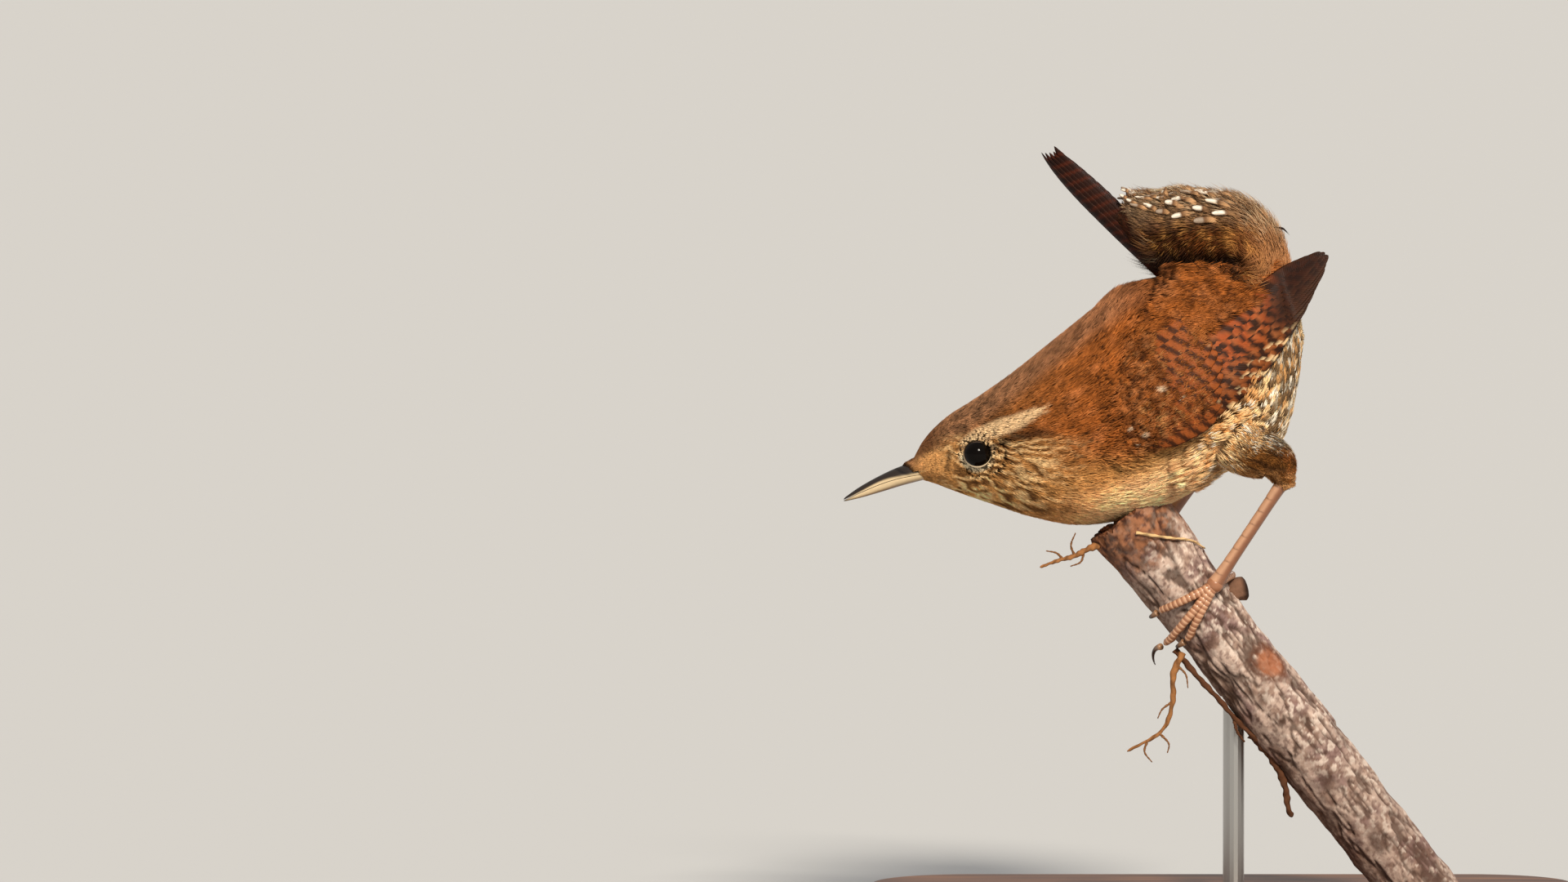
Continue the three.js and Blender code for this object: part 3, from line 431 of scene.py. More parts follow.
def wavy(points, size, seed):
    """Slow, even noise from 0 to 1, from a few crossing waves."""
    draw = np.random.default_rng(seed)
    total = np.zeros(len(points))
    for _ in range(6):
        way = unit(draw.normal(size=3)) * draw.uniform(0.6, 1.5) * FULL / size
        total += np.sin(points @ way + draw.uniform(0, FULL))
    return 0.5 + total / 9


def scallops(x, up, size, seed):
    """Rows of overlapping feather tips in side view: each feather's draw, and how near its dark edge is."""
    points = np.stack([x, 0 * x, up], 1)
    along = 0.84 * x + 0.54 * up + 0.9 * wavy(points, 3.1, seed)
    across = -0.54 * x + 0.84 * up + 1.1 * wavy(points, 3.7, seed + 1)
    row = np.floor(along / size)
    column = np.floor(across / size / 0.9 + 0.5 * (row % 2))
    draw = np.sin(row * 12.9898 + column * 78.233 + seed) * 43758.5453
    drawn = draw - np.floor(draw)
    ahead = along / size - row
    beside = np.abs(across / size / 0.9 + 0.5 * (row % 2) - column - 0.5) * 2
    return drawn, ease(0.55, 1.0, ahead * 0.8 + 0.4 * beside**2)


print("tones from", np.round(SOOT, 3), "to", np.round(WHITE, 3))

# %% [markdown]
# The markings of a wren: a grey-brown crown, a warm back with close faint bars, a cream brow over a dark eye
# stripe, finely streaked cheeks, and buff below that pales towards the belly and is scalloped with dark marks
# on the flanks and round the vent. Painted light brightens the belly.

# %% Markings
def back_markings(points, x, up):
    """Brown with close faint bars, greyer along the top of the head and the neck."""
    ridge = np.interp(x, [-40, -28, -16, -10], [63.5, 73, 82.5, 86])
    bars = np.sin(FULL * (0.86 * x + 0.5 * up + 1.6 * wavy(points, 4, 8)) / 1.9)
    strand = near_line(STRANDS, x, up + 0.3 * (wavy(points, 1.2, 17) - 0.5), 0.2)
    return layered(
        UMBER,
        (RUFOUS, ease(-34, -16, x + 0.35 * (70 - up))),
        (tone(140, 106, 82), 0.5 * ease(3.2, 0.4, ridge - up) * ease(-4, -18, x)),
        (PEAT, 0.62 * ease(0.2, 0.9, bars) * ease(-22, -10, x) * ease(0.3, 0.6, wavy(points, 6, 9))),
        (tone(40, 20, 10), 0.75 * strand),
    )


def below_markings(points, x, up, depth):
    """Buff that pales with the depth below its edge and towards the rear, with painted light on the belly."""
    colour = layered(
        CINNAMON,
        (BUFF, ease(-2.5, 2.5, depth)),
        (CREAM, 0.85 * ease(0.5, 4.5, depth + 0.12 * (x + 10)) * ease(-24, -12, x)),
        (CREAM, 0.5 * ease(-6, 1, x)),
        (tone(160, 106, 56), 0.5 * ease(0.55, 0.8, wavy(points, 1.5, 5)) * ease(-30, -16, x) * ease(4, 0, x)),
        (ASH, 0.6 * ease(6.5, 9.0, x) * ease(62, 66, up)),
    )
    # Painted light: the belly is made brighter, as if lit where the lamps leave it in shade.
    lit = ease(0.5, 5, depth) * ease(5, -2, x)
    return colour * (1 + lit[:, None] * BELLY_PAINTED_LIGHT)


def feather_edges(colour, x, up, above):
    """A tone for each feather and a dark rim round it, small on the head and stronger above."""
    drawn, rim = scallops(x, up, 1.25, 31)
    small_drawn, small_rim = scallops(x, up, 0.72, 35)
    fine = ease(-20, -28, x)
    drawn = drawn + (small_drawn - drawn) * fine
    rim = rim + (small_rim - rim) * fine
    strength = 0.8 + 0.9 * above
    colour = colour * (1 + strength * (0.5 * (drawn - 0.45) - 0.46 * (rim - 0.25)))[:, None]
    return mix(colour, tone(186, 132, 92), 0.2 * above * ease(0.7, 0.9, drawn) * (1 - rim))


print("colours at the back and below it are ready")

# %% [markdown]
# The face is drawn over the rest: fine streaks on the cheeks, a pale throat, a dark forehead, the brow over
# its eye stripe, the spot before the eye, and the ring of pale lids.

# %% Markings of the face
def face_markings(colour, points, x, up):
    """The face over the rest: streaked cheeks, throat, forehead, brow, eye stripe and the eye's ring."""
    hind = x + 2.5 * (wavy(points, 2.2, 13) - 0.5)
    cheek = ease(-39, -35, x) * (1 - ease(-26, -16, hind)) * (1 - ease(65.0, 67.0, up)) * ease(54, 57, up)
    way = 0.22 * (x + 33) + 0.35 * np.maximum(63.5 - up, 0)
    streak = np.sin(FULL * (up + way + 1.5 * wavy(points, 2.6, 11)) / 1.05)
    broken = ease(0.2, 0.48, wavy(points, 1.5, 12))
    colour = layered(
        colour,
        (tone(190, 138, 80), 0.7 * cheek),
        (tone(240, 204, 150), 0.8 * cheek * ease(0.0, 0.7, streak) * broken),
        (tone(66, 34, 10), 0.85 * cheek * ease(0.0, 0.7, -streak) * broken),
    )
    throat = ease(-40, -37, x) * ease(-24, -30, x) * ease(61.5, 58.5, up)
    lores = np.exp(-(((x + 38.2) / 2.4) ** 2 + ((up - 62.7) / 1.7) ** 2))
    fore = (1 - ease(-39.5, -35.5, x)) * ease(-0.3, 0.6, up - 64.6 - 0.55 * np.minimum(x + 38, 0))
    stripe = near_line(EYE_STRIPE, x, up + 0.8 * (wavy(points, 1.4, 6) - 0.5), 0.45)
    fray = 0.5 * (wavy(points, 1.0, 7) - 0.5) * ease(-30, -25, x)
    fray = fray + 1.4 * (wavy(points, 0.9, 27) - 0.5) * ease(-27, -23, x)
    under = ease(0.1, 0.9, (EYE["seen"] - up + 0.35 * (EYE["x"] - x)) / EYE["radius"])
    ring = ease(EYE["radius"] + 1.0, EYE["radius"] + 0.6, np.hypot(x - EYE["x"], up - EYE["seen"]))
    return layered(
        colour * (1 + 0.45 * throat)[:, None],
        (tone(214, 178, 128), 0.8 * near_line(GAPE, x, up, 0.14)),
        (tone(216, 160, 98), 0.75 * np.clip(lores * 1.4, 0, 1)),
        (tone(78, 42, 16), 0.75 * fore),
        (tone(52, 26, 9), 0.85 * stripe),
        (tone(228, 194, 150), 0.92 * near_line(BROW, x, up + fray, 0.35)),
        (SOOT, 0.75 * near_line(LORE_SPOT, x, up, 0.22)),
        (tone(240, 220, 184), ring * (0.15 + 0.8 * under)),
    )


def markings(points):
    """The plumage's colour at points in millimetres."""
    x, up = seen(points)
    edge = np.array(BUFF_EDGE)
    line, soft = (np.interp(x, edge[:, 0], edge[:, k]) for k in (1, 2))
    above = ease(-1, 1, (up - line + (wavy(points, 2.4, 3) - 0.5) * 1.6) / soft)
    colour = mix(below_markings(points, x, up, line - up), back_markings(points, x, up), above)
    return face_markings(feather_edges(colour, x, up, above), points, x, up)


print("colours of the face are ready")

# %% [markdown]
# The rump and the thighs have markings of their own. Gold and dark bars cross the rump, and the thigh is
# brown with a cream zone at its root, where the feathers of the flank hang over it.

# %% Markings of the rump and thighs
def rump_markings(points):
    """The rump and vent: tan and orange at the sides, greyer and paler where it faces up and back, with
    painted shadow on its lower side where it meets the back under the tail's root.
    """
    x, up = seen(points)
    face_up = ease(0.2, 0.9, np.cos(np.arctan2(-points[:, 1], points[:, 2] - 92.0)))
    gold = np.sin(FULL * (x + 0.5 * up + 2.5 * wavy(points, 4, 23)) / 2.6)
    colour = layered(
        tone(126, 68, 26),
        (tone(176, 122, 78), ease(0, 6.5, x)),
        # Painted shadow: darker on the lower side, under the tail's root.
        (tone(64, 32, 12), 0.8 * ease(-3.5, -8, x) * ease(95, 92, up)),
        (tone(222, 158, 84), 0.6 * ease(0.35, 0.95, gold) * ease(6, 2, x)),
        (tone(48, 22, 8), 0.75 * ease(0.2, 0.9, -gold) * ease(5, -1, x)),
        (tone(196, 164, 128), 0.7 * face_up),
        # Painted shadow: near black in the gap where the rump meets the back.
        (SOOT, 0.95 * ease(91.0, 89.3, up) * ease(4.0, 1.0, x)),
        (DUSK, 0.6 * ease(0.58, 0.8, wavy(points, 1.4, 21)) * face_up),
    )
    return colour * (1 - 0.2 * ease(4, -2, x))[:, None]


def in_flank(x, up, fray):
    """How far a point of the thigh is in the flank's cream, with a frayed edge."""
    return np.maximum(ease(64.6, 65.4, up + fray), ease(1.4, 0.4, x + fray))


def thigh_markings(points):
    """The thigh: dark brown with bars under the flank's cream, and orange buff towards the heel."""
    x, up = seen(points)
    bars = np.sin(FULL * (up + 0.4 * x) / 1.7 + 3 * wavy(points, 3, 15))
    cream = layered(
        tone(226, 186, 136),
        (tone(120, 92, 62), 0.8 * ease(0.55, 0.7, wavy(points, 1.1, 20))),
        (ASH, 0.6 * ease(5, 8, x)),
    )
    return layered(
        tone(122, 76, 32),
        (tone(46, 24, 8), 0.7 * ease(0, 0.9, bars)),
        (tone(178, 104, 48), 0.7 * ease(6.2, 8.6, x) * ease(0.7, 0.3, wavy(points, 1.3, 16))),
        (tone(214, 156, 100), ease(62.2, 60.0, up) * ease(0.2, 0.6, wavy(points, 1.6, 18))),
        (cream, in_flank(x, up, 1.6 * (wavy(points, 1.2, 19) - 0.5))),
    )


check = markings(np.array([[-29.4, -7.0, 68.0], [-8.6, -6.0, 60.6]]))
print("brow and belly in linear light:", check.round(2).tolist())

# %% [markdown]
# Round forms are made by wrapping a flat grid: one way of it runs along the form and the other round it.
# Every vertex is moved by one function, the seam and the ends are merged, and the flat grid's own places are
# kept as a UV map. This one helper makes the skin, the bill, the legs and the branch.

# %% Wrapping helper
def wrap_grid(form, steps, place, tint=None):
    """Wraps a flat grid round place(u, v), and closes it. tint(u, v, points) gives its colour."""
    uv_layer = form.loops.layers.uv.verify()
    tint_layer = form.loops.layers.float_color.get("tint") or form.loops.layers.float_color.new("tint")
    made = bmesh.ops.create_grid(form, x_segments=steps[0], y_segments=steps[1], size=0.5)["verts"]
    flat = np.array([v.co[:2] for v in made]) + 0.5
    points = place(flat[:, 0], flat[:, 1])
    colours = tint(flat[:, 0], flat[:, 1], points) if tint else np.zeros((len(made), 3))
    order = {v: k for k, v in enumerate(made)}
    for face in {f for v in made for f in v.link_faces}:
        face.smooth = True
        for loop in face.loops:
            k = order[loop.vert]
            loop[uv_layer].uv = flat[k]
            loop[tint_layer] = (*colours[k], 1)
    for vertex, point in zip(made, points * MM):
        vertex.co = point


def finish_form(form, name, finish=None, replaced=(), merge=3e-6):
    """A bmesh made into a piece of the model: closed, its faces turned out, and dressed in its finish."""
    bmesh.ops.remove_doubles(form, verts=form.verts, dist=merge)
    holes = [e for e in form.edges if e.is_boundary]
    if holes:
        bmesh.ops.holes_fill(form, edges=holes)
    bmesh.ops.recalc_face_normals(form, faces=form.faces)
    mesh = bpy.data.meshes.new(name)
    form.to_mesh(mesh)
    form.free()
    piece = add_object(name, mesh)
    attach(piece, "root")
    if finish:
        mesh.materials.append(finish)
        if replaced:
            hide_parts(*replaced)
        print(name, "has", len(mesh.polygons), "faces")
    return piece


def wrapped_piece(name, steps, place, tint, finish, replaced=(), merge=3e-6):
    """A piece that is one wrapped grid."""
    form = bmesh.new()
    wrap_grid(form, steps, place, tint)
    finish_form(form, name, finish, replaced, merge)


print("helpers ready")

# %% [markdown]
# Feathers and skin share one kind of material: the colour comes from the tint that the markings gave, with a
# little fine unevenness, and the surface is dry and barely shines.

# %% Plumage materials
def plumage_material(name, roughness, grain, strength):
    """Feather or skin that shows its own tint with a fine grain."""
    material, tree, shader = paint(name, (0.3, 0.2, 0.1), roughness, Specular_IOR_Level=0.12)
    tint = tree.nodes.new("ShaderNodeAttribute")
    tint.attribute_name = "tint"
    spread = tree.nodes.new("ShaderNodeMapRange")
    spread.inputs["To Min"].default_value = 1 - strength
    spread.inputs["To Max"].default_value = 1 + strength
    shade = tree.nodes.new("ShaderNodeVectorMath")
    shade.operation = "SCALE"
    tree.links.new(noise_on_object(tree, grain, 3), spread.inputs["Value"])
    tree.links.new(tint.outputs["Color"], shade.inputs[0])
    tree.links.new(spread.outputs["Result"], shade.inputs["Scale"])
    tree.links.new(shade.outputs["Vector"], shader.inputs["Base Color"])
    return material


feather_finish = plumage_material("feather", 0.62, 2600, 0.3)
skin_finish = plumage_material("skin and down", 0.9, 1800, 0.4)
print("materials:", feather_finish.name, "and", skin_finish.name)

# %% [markdown]
# One skin stands for all the soft parts of the solids, so that no seam shows. It lies inside them by the
# depth of the coat, which is thin on the face and thicker on the body. It is dark, partly as the down at the
# roots is and partly as painted shade, and shows only between the feathers. Body, rump and thighs are wrapped
# and then fused.

# %% Skin
SKIN_VOXEL = 0.45 * MM
SKIN_STEPS = {"body": (150, 96), "rump": (60, 60), "thigh": (40, 40)}
BODY_LAST, RUMP_LAST = len(BODY) - 1, len(RUMP) - 1


def coat_depth(t):
    """The coat's depth on the body, thin at the bill and full behind the head."""
    return 0.25 + 0.85 * ease(0.5, 4.5, t)


skin_form = bmesh.new()
wrap_grid(
    skin_form,
    SKIN_STEPS["body"],
    lambda u, v: on_body(u * BODY_LAST, v * FULL, -coat_depth(u * BODY_LAST)),
)
wrap_grid(skin_form, SKIN_STEPS["rump"], lambda u, v: on_rump(u * RUMP_LAST, v * FULL, -0.8))
for thigh_place in map(on_thigh, SIDES):
    wrap_grid(skin_form, SKIN_STEPS["thigh"], lambda u, v: thigh_place(u, v * FULL, -0.45))
skin = finish_form(skin_form, "skin", merge=1e-7)
fuse = skin.modifiers.new("fuse", "REMESH")
fuse.mode = "VOXEL"
fuse.voxel_size = SKIN_VOXEL
fuse.use_smooth_shade = True
bpy.context.view_layer.update()
fused = bpy.data.meshes.new_from_object(skin.evaluated_get(bpy.context.evaluated_depsgraph_get()))
skin.modifiers.clear()
skin.data = fused


def skin_colour(points):
    """The skin's tint: the coat's markings, darker, for the dark down and as painted shade under the coat."""
    on_lump = ease(86.6, 88.0, points[:, 2]) * ease(-18, -14, points[:, 0])
    low = ease(65.0, 63.0, points[:, 2]) * ease(2.0, 4.0, points[:, 0])
    # Halved: the down's own dark and painted shade between the feathers.
    return 0.5 * layered(markings(points), (rump_markings(points), on_lump), (thigh_markings(points), low))


skin_places = np.empty(len(fused.vertices) * 3, np.float32)
fused.vertices.foreach_get("co", skin_places)
skin_tints = skin_colour(skin_places.reshape(-1, 3) / MM)
skin_layer = fused.attributes.new("tint", "FLOAT_COLOR", "POINT")
skin_rgba = np.c_[skin_tints, np.ones(len(skin_tints))].astype(np.float32)
skin_layer.data.foreach_set("color", skin_rgba.ravel())
fused.materials.append(skin_finish)
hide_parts("head", "neck", "torso", "rump", "thigh_left", "thigh_right")
print("skin has", len(fused.polygons), "faces")

# %% [markdown]
# A small body feather is a root with a spray of soft barbs. Here each one is a tuft of slim blades, closed
# and widest past the middle, that fan from one root and follow the curve of the form under them. Thousands
# are wanted, so they are worked out as arrays, and each blade has only six triangles.

# %% Blades and tufts
BLADE_CORNERS = 5
BLADE_FACES = np.array([(0, 2, 1), (0, 1, 3), (0, 3, 2), (4, 3, 1), (4, 2, 3), (4, 1, 2)])
BLADE_BEND = 0.58
PATCH = 0.003
STEP = 0.02
ROW_SAMPLES = 60


def mesh_from_blades(name, corners, colours, patches):
    """One mesh from many blades, each of five corners, with its tint and its baking map."""
    count = len(corners)
    mesh = bpy.data.meshes.new(name)
    mesh.vertices.add(count * BLADE_CORNERS)
    mesh.vertices.foreach_set("co", (corners.reshape(-1) * MM).astype(np.float32))
    loops = (BLADE_FACES.reshape(1, -1) + BLADE_CORNERS * np.arange(count)[:, None]).reshape(-1)
    mesh.loops.add(len(loops))
    mesh.loops.foreach_set("vertex_index", loops.astype(np.int32))
    faces = count * len(BLADE_FACES)
    mesh.polygons.add(faces)
    mesh.polygons.foreach_set("loop_start", (3 * np.arange(faces)).astype(np.int32))
    mesh.polygons.foreach_set("use_smooth", np.ones(faces, bool))
    layer = mesh.attributes.new("tint", "FLOAT_COLOR", "POINT")
    rgba = np.concatenate([colours, np.ones((count, BLADE_CORNERS, 1))], -1)
    layer.data.foreach_set("color", rgba.astype(np.float32).ravel())
    uv = mesh.uv_layers.new(name="OFBake")
    uv.data.foreach_set("uv", patches.reshape(-1, 2)[loops].astype(np.float32).ravel())
    mesh.update(calc_edges=True)
    return mesh


print("a blade has", len(BLADE_FACES), "triangles")

# %% [markdown]
# The tufts are worked out in the two coordinates of the surface that they grow on. Each blade starts at the
# root, rises to its widest place and ends at the tip, and its colour is read from the markings at each of
# its five corners.

# %% Tufts
def grow_tufts(place, roots, lie, look, paint_points, bake_at):
    """Corners, colours and baking places of the blades of many tufts.

    place is the surface, roots its coordinates for each tuft, and lie the way along it in millimetres. look
    gives each tuft's barbs, length, width, spread, height at the root and at the tip, stray and shade. It may
    give a tuft a tone of its own and that tone's share, and how dark the root is: the down's own dark, with
    painted shade among the feathers.
    """
    count, total = look["barbs"], len(roots)
    length, spread = (np.reshape(look[key], (-1, 1)) for key in ("length", "spread"))
    scale = surface_scale(place, roots, look["sunk"])[:, None, :]
    fan = np.linspace(-1, 1, count)[None, :] + rng.uniform(-0.25, 0.25, (total, count))
    length = length * (1 - 0.22 * fan**2) * rng.uniform(0.8, 1.12, (total, count))
    across = np.stack([-lie[:, 1], lie[:, 0]], 1)[:, None, :]
    aside = (fan * spread)[..., None]
    start = roots[:, None, :] + across * aside * 0.35 / scale
    end = start + (lie[:, None, :] * length[..., None] + across * aside) / scale

    def flat(values):
        return np.broadcast_to(np.reshape(values, (-1, 1)), (total, count)).reshape(-1)

    start, end = start.reshape(-1, 2), end.reshape(-1, 2)
    bend = start + (end - start) * BLADE_BEND
    sunk = flat(look["sunk"])
    raised = flat(look["raised"]) + rng.normal(0, 1, total * count) * flat(look["stray"])
    arch = sunk + (raised - sunk) * 0.8
    p0 = place(start[:, 0], start[:, 1], sunk)
    p1 = place(bend[:, 0], bend[:, 1], arch)
    p2 = place(end[:, 0], end[:, 1], raised)
    normal = unit(place(bend[:, 0], bend[:, 1], arch + 0.5) - p1)
    side = unit(np.cross(p2 - p0, normal))
    over = np.cross(side, unit(p2 - p0))
    over = over * np.sign((over * normal).sum(1))[:, None]
    width = flat(look["width"])[:, None] / 2
    corners = np.stack([p0, p1 + side * width, p1 - side * width, p1 + over * width * 0.5, p2], 1)
    shade = flat(look["shade"]) * rng.uniform(0.87, 1.13, total * count)
    # Darker root: partly the dark down, partly painted shade among the feathers. The tip is a little lighter.
    down_and_shade_along = np.array([look.get("root_tone", 0.55), 0.95, 0.95, 1.0, 1.1])
    painted = paint_points(corners.reshape(-1, 3)).reshape(-1, BLADE_CORNERS, 3)
    if "own" in look:
        own = np.repeat(look["own"], count, axis=0)[:, None, :]
        painted = painted + (own - painted) * flat(look["own_share"])[:, None, None]
    colours = np.clip(painted * shade[:, None, None] * down_and_shade_along[None, :, None], 0, 1)
    corner_place = np.array([(-1, 0), (0, 1), (0, -1), (0, 0), (1, 0)]) * PATCH * 0.5
    lane = np.stack([np.zeros(total * count), fan.reshape(-1) * PATCH * 0.4], 1)
    root_uv = np.repeat(bake_at(roots), count, axis=0)
    patches = root_uv[:, None, :] + corner_place[None] * (1, 1 / count) + lane[:, None, :]
    return corners, colours, np.clip(patches, 0, 1)


def surface_scale(place, roots, sunk):
    """How many millimetres a step of each surface coordinate is, at each root."""
    base = place(roots[:, 0], roots[:, 1], sunk)
    along_u = np.linalg.norm(place(roots[:, 0] + STEP, roots[:, 1], sunk) - base, axis=1) / STEP
    along_v = np.linalg.norm(place(roots[:, 0], roots[:, 1] + STEP, sunk) - base, axis=1) / STEP
    return np.stack([np.maximum(along_u, 0.5 * np.median(along_u)), along_v], 1)


def lie_towards(place, roots, way):
    """The lie, in the surface's own two ways, of feathers that point a given way in space."""
    base = place(roots[:, 0], roots[:, 1], 0.0)
    first = unit(place(roots[:, 0] + STEP, roots[:, 1], 0.0) - base)
    second = unit(place(roots[:, 0], roots[:, 1] + STEP, 0.0) - base)
    cosine = (first * second).sum(1)
    along, across = (way * first).sum(1), (way * second).sum(1)
    spread = np.maximum(1 - cosine**2, 0.2)
    return unit(np.stack([along - cosine * across, across - cosine * along], 1) / spread[:, None])


print("tufts can be grown on a surface")

# %% [markdown]
# Roots stand in rows a jittered gap apart, like the feathers of a real bird, and the tufts of a region are
# joined into one piece. Its baking map is an unwrap of the surface itself, with a small patch for each
# blade.

# %% Rows of roots and coat pieces
def coat_piece(name, *parts):
    """One coat piece from the blades of one or more growths."""
    corners, colours, patches = (np.concatenate(arrays) for arrays in zip(*parts))
    mesh = mesh_from_blades(name, corners, colours, patches)
    mesh.materials.append(feather_finish)
    piece = add_object(name, mesh)
    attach(piece, "root")
    print(name, "has", len(corners), "blades,", len(corners) * len(BLADE_FACES), "triangles")


def bake_round(last, margin):
    """The unwrap of a round form: along it one way, as far as last, and round it the other."""
    share = 1 - 2 * margin
    return lambda roots: margin + share * np.stack([roots[:, 0] / last, roots[:, 1] / FULL % 1], 1)


def rows_on(place, u_range, v_range, gap):
    """Roots in rows across a surface, a jittered gap apart in millimetres. gap is a function of the row."""
    roots = []
    u, row = u_range[0], 0
    sample = np.linspace(*v_range, ROW_SAMPLES)
    while u < u_range[1]:
        spacing = gap(u)
        ring = place(np.full(ROW_SAMPLES, u), sample, 0.0)
        steps = np.linalg.norm(np.diff(ring, axis=0), axis=1)
        count = max(int(steps.sum() / spacing), 3)
        goal = (np.arange(count) + 0.5 * (row % 2) + rng.uniform(-0.3, 0.3, count)) / count
        v = np.interp(np.clip(goal, 0, 1) * steps.sum(), np.r_[0, np.cumsum(steps)], sample)
        ahead = place(np.full(ROW_SAMPLES, u + 0.01), sample, 0.0)
        stride = spacing * 0.8 / (np.linalg.norm(ahead - ring, axis=1).max() / 0.01)
        roots.append(np.stack([u + rng.uniform(-0.35, 0.35, count) * stride, v], 1))
        u += stride
        row += 1
    return np.concatenate(roots)


print("rows are", ROW_SAMPLES, "samples long")

# %% [markdown]
# The body's coat is grown in rows from the bill back to the vent, as the real feather tracts run. Barbs are
# shortest and finest round the bill and the eye and longest on the flanks and the belly. Roots that a wing
# covers, or that fall on the eye, are left out.

# %% Body coat
EYE_BALL = {"x": -32.65, "z": 64.45, "radius": 1.85, "depth": 0.62}
# How near the eye no tuft grows, and how near it they are short.
EYE_CLEAR, EYE_SHORT = 1.62, 3.2
BODY_PIECES = {"coat_face": (0.12, 2.6), "coat_head": (2.6, 4.4), "coat_neck": (4.4, 5.9),
               "coat_breast": (5.9, 7.6), "coat_body": (7.6, 9.7), "coat_vent": (9.7, 11.9)}
body_bake = bake_round(BODY_LAST, 0.01)


def body_gap(t):
    """The distance between tufts on the body, by station."""
    return np.interp(t, [0, 1.2, 2.6, 4.5, 7, 12], [0.3, 0.37, 0.47, 0.62, 0.76, 0.7])


def wing_cover(points):
    """Whether points of the body lie well under a folded wing."""
    x, up = points[:, 0], points[:, 2]
    lower = np.interp(x, [-14, -10.8, -5.8, -0.9, 3.2, 7.2, 12], [67.5, 66.5, 68.6, 72.5, 78.0, 84.0, 92])
    upper = np.interp(x, [-14, -9.6, -4.6, 1.0, 8], [73, 81.0, 83.6, 84.4, 84.8])
    return (x > -13.5) & (up > lower) & (up < upper)


def body_lie(roots):
    """The way the feathers lie: back along the body, turned down a little on the left cheek and neck."""
    turn = 0.4 * np.exp(-(((roots[:, 0] - 2.8) / 1.3) ** 2)) * ease(0.2, 0.9, np.sin(roots[:, 1]))
    turn = turn + rng.normal(0, 0.09, len(roots))
    return np.stack([np.cos(turn), np.sin(turn)], 1)


def body_tufts(t_range):
    """The tufts of one stretch of the body."""
    roots = rows_on(on_body, t_range, (0, FULL), body_gap)
    points = on_body(roots[:, 0], roots[:, 1], 0.0)
    eye_gap = np.hypot(points[:, 0] - EYE_BALL["x"], points[:, 2] - EYE_BALL["z"])
    keep = ~wing_cover(points) & ~((eye_gap < EYE_CLEAR) & (np.abs(points[:, 1]) > 4))
    roots, points, eye_gap = roots[keep], points[keep], eye_gap[keep]
    x, up = seen(points)
    t = roots[:, 0]
    low = ease(66, 58, up) * ease(4, 7, t)
    length = np.interp(t, [0, 1.2, 2.6, 4, 6, 9, 12], [0.7, 0.9, 1.4, 2.1, 2.8, 3.2, 3.0]) * (1 + 0.2 * low)
    length = length * np.where(eye_gap < EYE_SHORT, 0.5, 1.0)
    over_wing = ease(-19, -15.5, x) * ease(-9, -12, x) * ease(61, 64, up) * ease(86, 82, up)
    contrast = np.interp(t, [0, 2, 5, 8, 12], [0.16, 0.2, 0.16, 0.18, 0.24])
    look = {
        "barbs": 8,
        "length": length * rng.uniform(0.85, 1.15, len(t)),
        "width": np.interp(t, [0, 2, 5, 12], [0.1, 0.13, 0.18, 0.2]),
        "spread": length * 0.21,
        "sunk": -coat_depth(t) * 0.9,
        "raised": -0.1 * coat_depth(t) + 1.3 * over_wing + 0.12 * ease(8, 11, t),
        "stray": 0.03 + 0.04 * ease(2, 6, t) + 0.1 * ease(9, 11.5, t),
        "shade": 1 + rng.normal(0, 1, len(t)) * contrast * 0.8,
    }
    return grow_tufts(on_body, roots, body_lie(roots), look, markings, body_bake)


for name, span in BODY_PIECES.items():
    coat_piece(name, body_tufts(span))

# %% [markdown]
# Along the flank the feathers are long and loose. They point up and back, lie over the wing's lower edge, and
# are cream and white with dark between, each a fleck of its own. They grow from the same body form, but the
# way they point is given in space and worked back on to the surface.

# %% Flank coat
# The tones of single tufts, and how many take each one in front and at the rear.
FLANK_TONES = np.array([WHITE, tone(246, 206, 152), tone(222, 160, 96), tone(84, 52, 26),
                        tone(150, 138, 120)])
FORE_SHARES = np.array([0.08, 0.44, 0.34, 0.14, 0.0])
REAR_SHARES = np.array([0.17, 0.14, 0.1, 0.45, 0.14])
# The flank's upper edge along the wing: x, and height.
FLANK_TOP = [(-12, -6.5, -2.2, 1.7, 4.5, 6.7, 9.7, 12), (62.4, 65.0, 67.0, 70.6, 74.2, 78.2, 82.4, 86)]


def flank_tones(rear):
    """A tone for each tuft, drawn by shares that change from the flank's fore part, 0, to its rear, 1."""
    limits = np.cumsum(FORE_SHARES + (REAR_SHARES - FORE_SHARES) * rear[:, None], axis=1)
    picks = (rng.random((len(rear), 1)) > limits).sum(1)
    return FLANK_TONES[np.minimum(picks, len(FLANK_TONES) - 1)]


